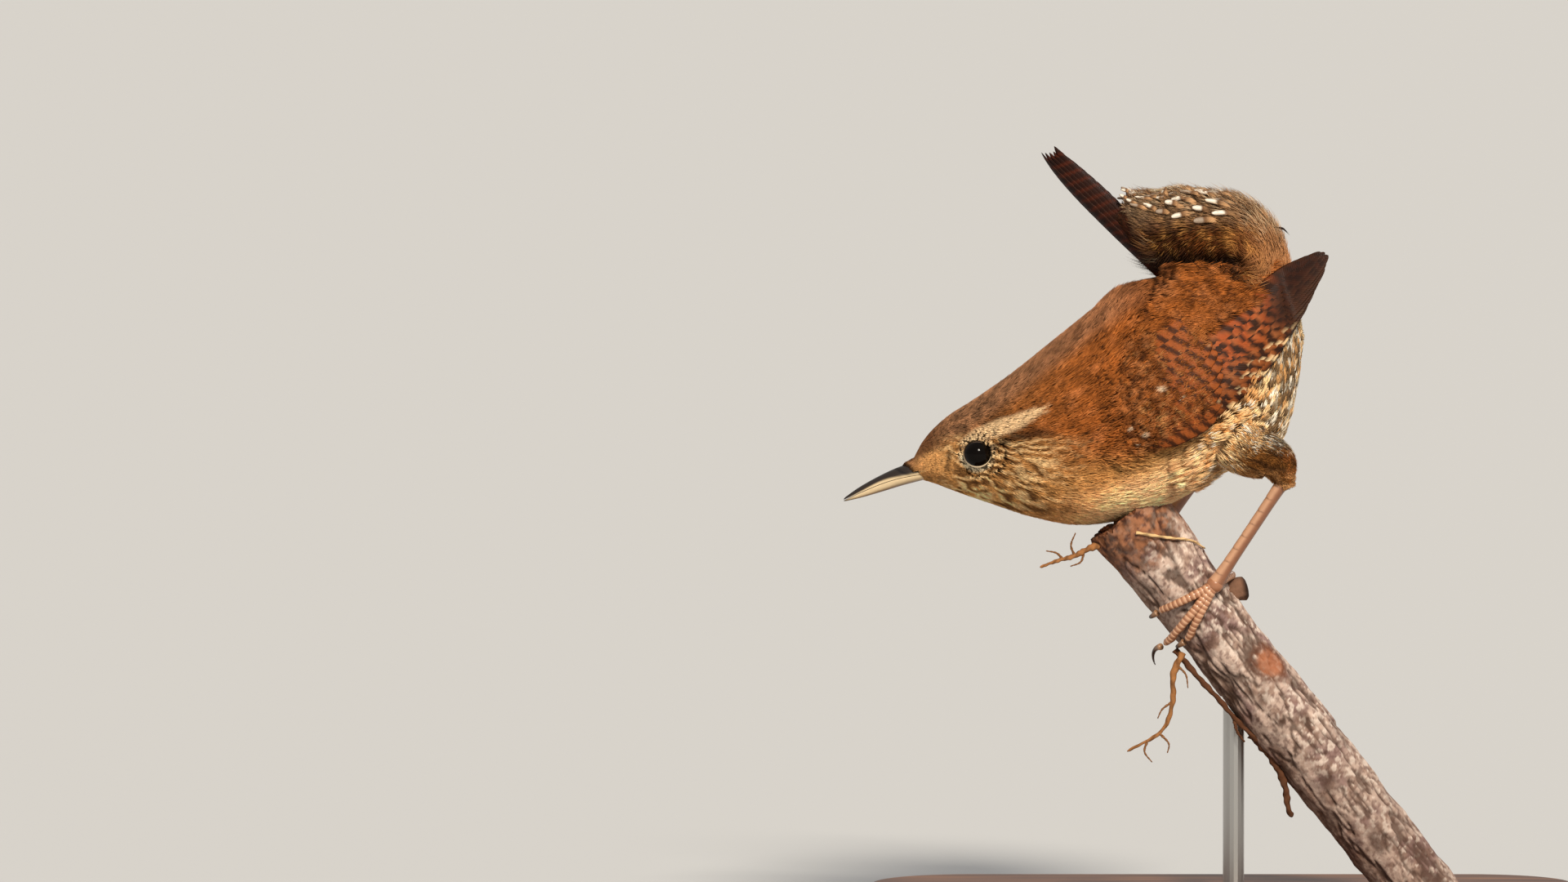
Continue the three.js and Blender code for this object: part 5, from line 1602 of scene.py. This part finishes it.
# %% [markdown]
# The eye is the first thing that is looked at: a clear dark ball sunk in the head, with a ring of lids
# round it. The ball starts as a sphere, and the lids are a small tube wrapped round a ring, drawn slightly to
# a corner in front and behind, as real lids are.

# %% Eyes
LIDS = {"length": 1.6, "height": 1.55, "tube": 0.14, "steps": (72, 14)}


eye_width, eye_share = ring_through(BODY, np.array([EYE_BALL["x"]]), np.array([EYE_BALL["z"]]), 40)
eye_out = (eye_width * np.sqrt(1 - eye_share**2))[0]
eye_finish, eye_tree, eye_shader = paint("eye", (0.002, 0.0015, 0.001), 0.1, Specular_IOR_Level=0.1)
iris_mix = eye_tree.nodes.new("ShaderNodeMix")
iris_mix.data_type = "RGBA"
iris_mix.inputs["A"].default_value = (0.0015, 0.001, 0.0008, 1)
iris_mix.inputs["B"].default_value = (0.005, 0.003, 0.002, 1)
eye_tree.links.new(noise_on_object(eye_tree, 900), iris_mix.inputs["Factor"])
eye_tree.links.new(iris_mix.outputs["Result"], eye_shader.inputs["Base Color"])
lid_finish = horn_material("lids", 0.6, 2200)


def lid_tint(u, v, points):
    """Grey brown lids, paler below."""
    below = ease(0.3, -0.6, np.sin(FULL * u))
    return mix(tone(70, 50, 36), tone(216, 194, 160), 0.85 * below)


for name, side in SIDES.items():
    ball_form = bmesh.new()
    bmesh.ops.create_uvsphere(ball_form, u_segments=56, v_segments=36, radius=EYE_BALL["radius"] * MM)
    centre = Vector((EYE_BALL["x"], -side * (eye_out - EYE_BALL["depth"]), EYE_BALL["z"])) * MM
    bmesh.ops.translate(ball_form, verts=ball_form.verts, vec=centre)
    for face in ball_form.faces:
        face.smooth = True
    finish_form(ball_form, "eye_ball_" + name, eye_finish, ["eye_" + name], 1e-7)

    def lid_place(u, v, side=side):
        turn, round_tube = FULL * u, FULL * v
        corner = 0.12 * np.abs(np.cos(turn)) ** 9
        thick = LIDS["tube"] + 0.1 * ease(0.1, -0.8, np.sin(turn))
        reach = thick * np.cos(round_tube)
        x = EYE_BALL["x"] + (LIDS["length"] + corner + reach) * np.cos(turn)
        z = EYE_BALL["z"] + (LIDS["height"] + reach) * np.sin(turn)
        out = eye_out + 0.16 - 0.35 * np.cos(turn) ** 2 + thick * np.sin(round_tube)
        return np.stack([x, -side * out, z], -1)

    wrapped_piece("lids_" + name, LIDS["steps"], lid_place, lid_tint, lid_finish, merge=1e-7)

# %% [markdown]
# The branch is a round form along a curved line. The feet hold on to it, so its line and radius are needed
# first. Distance is counted down from the broken end, and degrees from the upper side towards the bird's
# left. The line is the same drawn-out curve as in the solids, measured by its length.

# %% Branch line
# Each station: x and z of the middle line, and the radius.
BRANCH = [
    (-13.2, 56.3, 5.9),
    (-8.6, 50.3, 5.3),
    (-2.4, 42.3, 4.9),
    (5.2, 32.6, 5.1),
    (13.8, 21.7, 4.9),
    (22.5, 10.6, 4.85),
    (31.0, -0.3, 4.9),
]
TOUCH = 0.3


def drawn_line(points, count=2400):
    """A centripetal curve through points, as many points an even length apart, and its length."""
    p = np.asarray(points, float)
    p = np.vstack([2 * p[0] - p[1], p, 2 * p[-1] - p[-2]])
    pieces = []
    for a, b, c, d in zip(p, p[1:], p[2:], p[3:]):
        d0, d1, d2 = (max(np.sqrt(np.linalg.norm(n - m)), 1e-6) for m, n in ((a, b), (b, c), (c, d)))
        t1 = ((b - a) / d0 - (c - a) / (d0 + d1) + (c - b) / d1) * d1
        t2 = ((c - b) / d1 - (d - b) / (d1 + d2) + (d - c) / d2) * d1
        f = np.linspace(0, 1, 200)[:, None]
        pieces.append(b + f * t1 + f**2 * (3 * (c - b) - 2 * t1 - t2) + f**3 * (2 * (b - c) + t1 + t2))
    line = np.vstack(pieces)
    run = np.r_[0, np.cumsum(np.linalg.norm(np.diff(line, axis=0), axis=1))]
    even = np.linspace(0, run[-1], count)
    return np.stack([np.interp(even, run, line[:, k]) for k in range(line.shape[1])], 1), run[-1]


branch_line, BRANCH_LENGTH = drawn_line([(x, 0.0, z) for x, z, _ in BRANCH])


def along_line(line, share):
    """Points and directions at shares of a line's length. Past its ends it runs on straight."""
    place = np.clip(share, 0, 1) * (len(line) - 1)
    i = np.minimum(place.astype(int), len(line) - 2)
    step = line[i + 1] - line[i]
    points = line[i] + step * (place - i)[:, None]
    way = unit(step)
    length = np.linalg.norm(np.diff(line, axis=0), axis=1).sum()
    beyond = (share - np.clip(share, 0, 1)) * length
    return points + way * beyond[:, None], way


def on_branch(distance, degrees, height):
    """A point over the bark."""
    distance = np.atleast_1d(np.asarray(distance, float))
    middle, way = along_line(branch_line, distance / BRANCH_LENGTH)
    upper = np.stack([-way[:, 2], np.zeros(len(way)), way[:, 0]], 1)
    upper = upper * np.sign(upper[:, 2])[:, None]
    radius = smooth_at([s[2] for s in BRANCH], np.clip(distance / BRANCH_LENGTH, 0, 1) * (len(BRANCH) - 1))
    reach = (radius + height)[:, None] if np.ndim(radius + height) else radius + height
    turn = np.radians(degrees) * np.ones(len(distance))
    return middle + reach * (np.cos(turn)[:, None] * upper - np.sin(turn)[:, None] * np.array([0, 1.0, 0]))


print("the branch is", round(BRANCH_LENGTH, 1), "mm long")

# %% [markdown]
# The legs are bare below the heel: a slim shank with a row of plates down its front, and toes that wrap round
# the branch with a claw at the end of each. Plates and pads are raised in the same wrapped tube, by a height
# that depends on how far along and how far round a point is.

# %% Legs and feet
SHANK = {"radius": 0.78, "joint": 1.15, "plates": 9, "steps": (150, 26)}
TOE = {"radius": 0.68, "tip": 0.5, "scale": 0.62, "pad": 2.1, "step": 0.09, "round": 22}
CLAW = {"radius": 0.48, "tip": 0.07, "bend": 2.2, "turn": 1.75, "hook": 0.55, "arch": 0.35,
        "steps": (50, 18)}
# Each toe: how far along the branch it ends, its degrees there, its lift, its claw's size and its droop.
FEET = {
    "left": {"distance": 14.4, "degrees": 55, "toes": {
        "inner": (-1.6, 140, 0, 1.0, 0), "middle": (2.3, 158, 1.7, 1.2, 0.85),
        "outer": (3.6, 136, 0, 1.0, 0), "hind": (1.6, -82, 0, 1.1, 0)}},
    "right": {"distance": 4.6, "degrees": -62, "toes": {
        "inner": (-0.6, -120, 0, 1.0, 0), "middle": (2.6, -126, 0, 1.0, 0),
        "outer": (5.4, -116, 0, 1.0, 0), "hind": (5.4, -66, 0, 1.0, 0)}},
}
# The pale tone also serves as a painted highlight, and the groove tone as painted shade beneath.
LEG_TONES = {"bare": tone(158, 106, 76), "pale": tone(218, 174, 140), "groove": tone(88, 50, 32)}
leg_finish = horn_material("leg skin", 0.3, 1300)
claw_finish = horn_material("claw horn", 0.35, 1300)


def tube_round(line, up_way, radius_at):
    """A tube round a line. up_way is its raised side, and radius_at(share, turn) its radius."""

    def place(u, v):
        middle, way = along_line(line, u)
        above = up_way(u) if callable(up_way) else np.tile(up_way, (len(u), 1))
        side = unit(np.cross(way, above))
        above = np.cross(side, way)
        turn = FULL * v
        reach = radius_at(u, turn)[:, None]
        return middle + reach * (np.cos(turn)[:, None] * above + np.sin(turn)[:, None] * side)

    return place


print("a toe is", 2 * TOE["radius"], "mm thick at its root")

# %% [markdown]
# A toe runs over the bark to its own place and carries scales on top and pads below. Its claw goes on in the
# same direction and hooks in towards the branch.

# %% Toes and claws
def toe_point(foot, toe, share):
    """A toe's line over the bark."""
    along, degrees, lift = toe[0], toe[1], toe[2]
    bulge = TOE["radius"] + (TOE["tip"] - TOE["radius"]) * np.minimum(share, 1)
    settle = np.maximum(0, 1 - share * 5)
    height = TOUCH + bulge + (SHANK["joint"] - bulge) * settle + lift * np.maximum(share, 0) ** 2
    turn = foot["degrees"] + (degrees - foot["degrees"]) * share
    return on_branch(foot["distance"] + along * np.minimum(share * 1.15, 1), turn, height)


def out_of_branch(line):
    """The way out of the branch at each share of a line."""

    def way(u):
        points = along_line(line, u)[0]
        near = np.abs(branch_line[:, 0][None, :] - points[:, 0][:, None])
        middle = branch_line[np.argmin(near + np.abs(branch_line[:, 2][None, :] - points[:, 2][:, None]), 1)]
        return unit(points - middle)

    return way


def plated(under_painted_shade, top_pale_and_highlight, top, groove):
    """The leg's tint: bare skin, paler on top, partly its plates and partly a painted highlight, darker
    beneath as painted shade, and dark in the grooves between plates.
    """
    # Paler on top: pale plates and a painted highlight.
    colour = mix(LEG_TONES["bare"], LEG_TONES["pale"], top_pale_and_highlight * top)
    # Dark grooves, and painted shade on the side away from the top.
    return mix(colour, LEG_TONES["groove"], groove + under_painted_shade * (1 - top))


def toe_piece(form, foot, toe):
    """One toe: scales on top, and pads under its joints."""
    line = drawn_line(toe_point(foot, toe, np.linspace(0, 1, 60))[::6], 300)[0]
    length = np.linalg.norm(np.diff(line, axis=0), axis=1).sum()

    def radius_at(u, turn):
        base = TOE["radius"] + (TOE["tip"] - TOE["radius"]) * u
        saw = (u * length / TOE["scale"]) % 1
        scale = 0.075 * (1 - saw) ** 0.6 * ease(-0.2, 0.6, np.cos(turn))
        pad = 0.14 * np.sin(np.pi * (u * length / TOE["pad"] % 1)) ** 2 * ease(0.1, -0.6, np.cos(turn))
        close = closing(1.001 - u, 0.06) * closing(u + 0.03, 0.05)
        return (base - 0.06 + scale + pad) * (0.25 + 0.75 * close)

    def tint(u, v, points):
        saw = (u * length / TOE["scale"]) % 1
        top = ease(-0.2, 0.5, np.cos(FULL * v))
        return plated(0.4, 0.7 * ease(0.65, 0.2, saw), top, 0.6 * top * ease(0.8, 1.0, saw))

    steps = (int(length / TOE["step"]), TOE["round"])
    wrap_grid(form, steps, tube_round(line, out_of_branch(line), radius_at), tint)


def claw_piece(foot, toe, name):
    """A claw: a hook that tapers to a point."""
    end, before = toe_point(foot, toe, np.array([1.0, 0.96]))
    forward = unit(end - before)
    axis = along_line(branch_line, np.array([(foot["distance"] + toe[0]) / BRANCH_LENGTH]))[0][0]
    inward = unit(axis - end) * (1 - toe[4]) - np.array([0, 0, toe[4]])
    inward = unit(inward - forward * (inward @ forward))
    t = np.linspace(0, 1, 40)[:, None]
    bend = CLAW["bend"] * toe[3]
    turn = t * CLAW["turn"]
    line = end + forward * (bend * np.sin(turn) - 0.15)
    line = line + inward * (CLAW["hook"] * bend * (1 - np.cos(turn)) - CLAW["arch"] * np.sin(np.pi * t))
    line = drawn_line(line[::3], 200)[0]

    def radius_at(u, turn):
        base = CLAW["radius"] + (CLAW["tip"] - CLAW["radius"]) * u**0.8
        groove = 0.12 * np.exp(-(np.sin(turn) ** 2) / 0.1) * (np.cos(turn) < 0)
        return base * (1 - groove) * closing(1.004 - u, 0.03)

    def tint(u, v, points):
        return layered(
            tone(150, 112, 82),
            (tone(52, 36, 28), ease(0.05, 0.45, u)),
            (tone(30, 20, 16), 0.6 * ease(0.6, 1, u)),
        )

    place = tube_round(line, -inward, radius_at)
    wrapped_piece(name + "_horn", CLAW["steps"], place, tint, claw_finish, [name])


print("toes and claws are ready")

# %% [markdown]
# The shank joins the foot to the heel, with plates down its front and a knob at each end. Then both legs are
# put together.

# %% Shanks and feet
def shank_piece(foot, name, heel):
    """The shank, with plates down its front and a knob at each end."""
    low = on_branch(foot["distance"], foot["degrees"], TOUCH + SHANK["joint"])[0]
    high = np.array(heel, float)
    up = unit(high - low)
    line = drawn_line([low - up * 0.2, low + (high - low) * 0.5, high + up * 0.9], 300)[0]
    front = unit(np.array([-1.0, -0.25, 0.2]))

    def radius_at(u, turn):
        base = SHANK["radius"] + (SHANK["joint"] - SHANK["radius"]) * np.abs(2 * u - 1) ** 4
        plate = (u * SHANK["plates"] + 0.1 * np.cos(turn)) % 1
        step = 0.05 * ease(0.1, 0.7, np.cos(turn)) * (1 - plate) ** 0.5
        back = 0.1 * np.exp(-((turn - np.pi) ** 2) / 0.3)
        close = closing(1.001 - u, 0.04) * closing(u + 0.02, 0.04)
        return (base * 0.94 + step + back) * (0.2 + 0.8 * close)

    def tint(u, v, points):
        plate = (u * SHANK["plates"] + 0.1 * np.cos(FULL * v)) % 1
        top = ease(-0.1, 0.6, np.cos(FULL * v))
        return plated(0.35, 0.5, top, 0.5 * top * ease(0.86, 1.0, plate))

    place = tube_round(line, front, radius_at)
    wrapped_piece(name + "_skin", SHANK["steps"], place, tint, leg_finish, [name])


for name, foot in FEET.items():
    foot_form = bmesh.new()
    hub = on_branch(foot["distance"], foot["degrees"], TOUCH + SHANK["joint"])[0]
    knob = bmesh.ops.create_icosphere(foot_form, subdivisions=4, radius=SHANK["joint"] * 0.98 * MM)["verts"]
    bmesh.ops.translate(foot_form, verts=knob, vec=Vector(hub) * MM)
    knob_tint = foot_form.loops.layers.float_color.new("tint")
    for face in foot_form.faces:
        face.smooth = True
        for loop in face.loops:
            loop[knob_tint] = (*LEG_TONES["bare"], 1)
    for toe in foot["toes"].values():
        toe_piece(foot_form, foot, toe)
    finish_form(foot_form, "foot_" + name + "_toes", leg_finish, ["foot_" + name])
    for toe_name, toe in foot["toes"].items():
        claw_piece(foot, toe, "claw_" + name + "_" + toe_name)
    shank_piece(foot, "shank_" + name, THIGHS[name]["line"][-1])

# %% [markdown]
# The branch is dead wood, broken off at the top. Its bark is grey with a purple tinge, cracked along its
# length, spotted and scarred. The same wrapped tube is used, and its rings are drawn in to the middle at the
# top, over a ragged surface of torn red-brown wood.

# %% Branch
BASE_TOP = 6.0
CAP = 0.075
BRANCH_STEPS = (420, 132)


def rough(points, size, octaves=4):
    """Fractal noise at points, about -1 to 1, for features of a size in millimetres."""
    return np.array([noise.fractal(Vector(p) / size, 1.0, 2.0, octaves) for p in points])


def branch_parts(u, v):
    """Each point's distance down the branch, degrees round it, and how far it is drawn in."""
    body = np.clip((u - CAP) / (1 - CAP), 0, 1)
    inward = np.clip(u / CAP, 0, 1)
    return body * BRANCH_LENGTH, 360 * v, inward


def bark_height(distance, degrees):
    """The bark's relief in millimetres: long cracks, plates and knots."""
    turn = np.radians(degrees)
    lump = 0.018 * np.sin(3 * turn + 0.4 * distance) + 0.014 * np.sin(0.9 * distance - 2 * turn)
    lump = -np.abs(lump + 0.012 * np.sin(5 * turn - 0.25 * distance + 1)) * 5
    round_place = np.stack([5 * np.cos(turn), 5 * np.sin(turn), distance * 0.42], 1)
    plates = rough(round_place, 1.5, 4)
    cracks = -0.34 * np.exp(-((rough(round_place * (1, 1, 0.6), 2.4, 3) / 0.09) ** 2))
    return lump + 0.16 * plates + cracks - 0.05


def branch_place(u, v):
    """A point of the branch, its broken end included."""
    distance, degrees, inward = branch_parts(u, v)
    height = bark_height(distance, degrees)
    points = on_branch(distance, degrees, height)
    middle, way = along_line(branch_line, distance / BRANCH_LENGTH)
    drawn = middle + (points - middle) * (inward**0.7)[:, None]
    turn = np.radians(degrees)
    star = np.stack([6 * inward * np.cos(turn), 6 * inward * np.sin(turn), np.zeros(len(u))], 1)
    tear = 1.1 * rough(star, 1.6, 3) + 0.5 * rough(star * (2.2, 0.7, 1), 1.0, 3)
    rim = np.where(inward < 1, 1, np.exp(-distance / 1.2))
    hollow = 1.6 * np.exp(-((1 - inward) * 3 - 1.4) ** 2 * 2)
    return drawn + way * ((np.abs(tear) * 0.8 + hollow * 0.5) * rim)[:, None]


def bark_tint(u, v, points):
    """Grey bark with purple and brown in it, pale specks, a scar, painted shade in the cracks and on the
    underside, and red-brown wood in the broken end.
    """
    distance, degrees, inward = branch_parts(u, v)
    turn = np.radians(degrees)
    height = bark_height(distance, degrees)
    large, small = rough(points, 5.0, 3), rough(points, 0.9, 3)
    scar = np.exp(-(((distance - 27.1) / 2.3) ** 2) - ((degrees - 49) / 26) ** 2)
    torn = ease(11.0, 4.5, distance + 5 * np.abs(large) + 0.015 * np.abs(degrees - 110))
    wood = layered(
        tone(148, 96, 64),
        (tone(74, 40, 26), ease(-0.1, 0.4, rough(points, 0.8, 3))),
        (tone(44, 24, 16), 0.7 * ease(0.0, 0.35, rough(points, 1.7, 3))),
    )
    colour = layered(
        tone(186, 162, 148),
        (tone(134, 108, 102), ease(-0.1, 0.5, large)),
        (tone(120, 90, 74), 0.6 * ease(0.05, 0.4, rough(points, 2.0, 3))),
        (tone(92, 66, 60), 0.55 * ease(0.12, 0.3, rough(points, 0.55, 2))),
        (tone(222, 204, 190), 0.85 * ease(0.1, 0.4, small) * ease(-0.9, 0.3, np.cos(turn))),
        # Painted shade: darker in the cracks.
        (tone(60, 40, 30), 0.8 * ease(-0.12, -0.38, height)),
        # Painted shade: darker brown on the underside.
        (tone(104, 74, 54), 0.5 * ease(0.0, -0.8, np.cos(turn - 0.5))),
        (tone(96, 74, 66), 0.35 * ease(18, 60, distance)),
        (tone(150, 92, 62), 0.85 * ease(0.25, 0.6, scar + 0.3 * large)),
        (tone(92, 56, 40), 0.8 * ease(0.3, 0.0, np.abs(scar + 0.2 * small - 0.35))),
        (wood, 0.85 * torn),
    )
    return np.where((inward < 1)[:, None], wood, colour)


bark_finish = plumage_material("bark", 0.88, 900, 0.35)
add_bump(bark_finish.node_tree, noise_on_object(bark_finish.node_tree, 1400, 6), 0.7, 0.25)


print("bark is marked and bumped")

# %% [markdown]
# The bark's relief and colour are now laid on the wrapped form, which is cut flat just over the base.

# %% Branch piece
branch_form = bmesh.new()
wrap_grid(branch_form, BRANCH_STEPS, branch_place, bark_tint)
bmesh.ops.remove_doubles(branch_form, verts=branch_form.verts, dist=3e-6)
bmesh.ops.bisect_plane(
    branch_form,
    geom=branch_form.verts[:] + branch_form.edges[:] + branch_form.faces[:],
    plane_co=(0, 0, (BASE_TOP + TOUCH) * MM),
    plane_no=(0, 0, -1),
    clear_outer=True,
)
finish_form(branch_form, "branch", bark_finish, ["perch"], 2e-6)

# %% [markdown]
# Thin dead rootlets hang from the bark, with finer side shoots. Strips of bark peel from the underside, a
# pale fibre lies over the branch's end, and a short broken stub stands behind the foot. Each is a tube that
# wanders a little and tapers.

# %% Rootlets and stub
ROOTLETS = {
    "lower": [
        (-5.6, -2.6, 38), (-6.8, -3.2, 35.2), (-6.9, -3.4, 31.6), (-8.2, -3.4, 27.9), (-12.9, -3.2, 25),
    ],
    "upper": [
        (-16.4, -1.8, 52.2), (-18, -2.4, 51.7), (-19.8, -2.9, 50.8), (-22, -3.2, 50.2), (-24.4, -3, 49.3),
    ],
}
SHOOTS = {
    "lower": [
        [(-6.9, -3.4, 31.6), (-8.3, -3.9, 30.6), (-8.9, -4.0, 29.4)],
        [(-10.2, -3.4, 26.5), (-10.6, -3.6, 25.0), (-9.6, -3.7, 23.6)],
        [(-6.4, -3.0, 36.4), (-5.2, -3.6, 35.2), (-4.9, -3.8, 33.4)],
        [(-8.6, -3.5, 27.4), (-7.4, -3.5, 26.0), (-7.6, -3.5, 24.8)],
    ],
    "upper": [
        [(-19.8, -2.9, 50.8), (-20.3, -3.2, 52.2), (-19.7, -3.4, 53.9)],
        [(-21.4, -3.1, 50.4), (-22.2, -3.4, 51.2), (-23.6, -3.4, 51.5)],
        [(-18.6, -2.6, 51.3), (-19.0, -2.7, 50.0), (-20.4, -2.8, 49.4)],
    ],
}
PEELS = [
    [(-6.6, -2.4, 38.4), (-3.4, -2.6, 34.6), (-0.6, -2.6, 31.6), (1.4, -2.5, 29.2), (4.2, -2.2, 26.4)],
    [(3.6, -1.6, 27.2), (6.3, -1.4, 23.9), (7.9, -1.6, 20.4), (8.4, -1.7, 17.2), (8.9, -1.6, 16.2)],
    [(1.2, -2.2, 29.4), (1.6, -2.8, 27.6), (2.6, -2.8, 26.2)],
]
PEEL_RADII = [(0.42, 0.3), (0.7, 0.35), (0.3, 0.12)]
# The fibre's way over the bark: distance down the branch, and degrees round it.
FIBRE = [(2.6, 92), (4.4, 76), (5.9, 61), (8.1, 32), (10.2, 8)]
STUB = {"distance": 17.0, "degrees": -4, "sunk": 2.0, "length": 1.2, "radius": 1.5, "lean": (0.9, 0, -0.3),
        "steps": (44, 40)}


def root_tube(form, points, thick, thin, steps, colour):
    """A wandering, tapering rootlet."""
    line = drawn_line(points, 300)[0]

    def radius_at(u, turn):
        wander = 1 + 0.16 * np.sin(u * 31 + 2 * turn) + 0.12 * np.sin(u * 67 - turn)
        return (thick + (thin - thick) * u**0.8) * wander * closing(1.003 - u, 0.03)

    def tint(u, v, points):
        return mix(colour, tone(70, 44, 26), 0.5 * ease(0.3, 0.9, np.sin(u * 37 + 9 * v)))

    wrap_grid(form, (steps, 12), tube_round(line, np.array([0.3, 0.9, 0.3]), radius_at), tint)


def root_piece(name, tubes, replaced=()):
    """One piece of rootlets or strips."""
    form = bmesh.new()
    for tube in tubes:
        root_tube(form, *tube)
    finish_form(form, name, bark_finish, replaced, 2e-6)


for name, points in ROOTLETS.items():
    shoots = [(shoot, 0.2, 0.07, 40, tone(128, 88, 56)) for shoot in SHOOTS[name]]
    tubes = [(points, 0.5, 0.16, 110, tone(150, 102, 62)), *shoots]
    root_piece("rootlet_" + name, tubes, ["perch_rootlet_" + name])
root_piece("bark_strips", [(peel, *radii, 70, tone(86, 54, 36)) for peel, radii in zip(PEELS, PEEL_RADII)])
fibre_way = np.array([on_branch(distance, degrees, 0.22)[0] for distance, degrees in FIBRE])
root_piece("fibre", [(fibre_way, 0.22, 0.12, 60, tone(216, 180, 130))])

stub_ends = (-STUB["sunk"], STUB["length"])
stub_from, stub_to = (on_branch(STUB["distance"], STUB["degrees"], height)[0] for height in stub_ends)
stub_bend = stub_from + (stub_to - stub_from) * 0.6
stub_line = drawn_line([stub_from, stub_bend, stub_to + np.array(STUB["lean"])], 200)[0]


def stub_radius(u, turn):
    """A stub with a worn flat end."""
    wander = 1 + 0.08 * np.sin(3 * turn + 6 * u) + 0.05 * np.sin(7 * turn)
    return STUB["radius"] * wander * np.clip((1.001 - u) / 0.12, 0, 1) ** 0.25


def stub_tint(u, v, points):
    """Grey-brown bark, and dark wood at the worn end."""
    return mix(tone(120, 88, 70), tone(46, 30, 22), ease(0.75, 0.95, u))


stub_place = tube_round(stub_line, np.array([0, 1.0, 0]), stub_radius)
wrapped_piece("stub", STUB["steps"], stub_place, stub_tint, bark_finish)

# %% [markdown]
# The stand stays as the solids have it. It gets an oiled dark wood with grain along its length, and a plain
# brushed metal rod.

# %% Stand
stand_wood, wood_tree, wood_shader = paint("stand wood", (0.2, 0.1, 0.05), 0.42)
grain = noise_on_object(wood_tree, 3.0, 8, 0.6, (18, 160, 160))
ramp = wood_tree.nodes.new("ShaderNodeValToRGB")
for stop, place, colour in zip(ramp.color_ramp.elements, (0.35, 0.7), (tone(66, 40, 26), tone(128, 84, 54))):
    stop.position = place
    stop.color = (*colour, 1)
wood_tree.links.new(grain, ramp.inputs["Fac"])
wood_tree.links.new(ramp.outputs["Color"], wood_shader.inputs["Base Color"])
add_bump(wood_tree, grain, 0.2, 0.1)

steel, steel_tree, _ = paint("brushed steel", (0.5, 0.49, 0.47), 0.32, Metallic=1.0)
add_bump(steel_tree, noise_on_object(steel_tree, 1.0, stretch=(3000, 3000, 60)), 0.15, 0.03)

for name, finish in {"stand_base": stand_wood, "stand_rod": steel}.items():
    for slot in nodes[name].material_slots:
        slot.material = finish

# %% [markdown]
# At the end the number of triangles in view is printed.

# %% Size and finish
import json

triangles = sum(
    sum(len(face.vertices) - 2 for face in piece.data.polygons)
    for piece in bpy.context.scene.objects
    if piece.type == "MESH" and not piece.hide_render
)
print("triangles in view:", triangles)
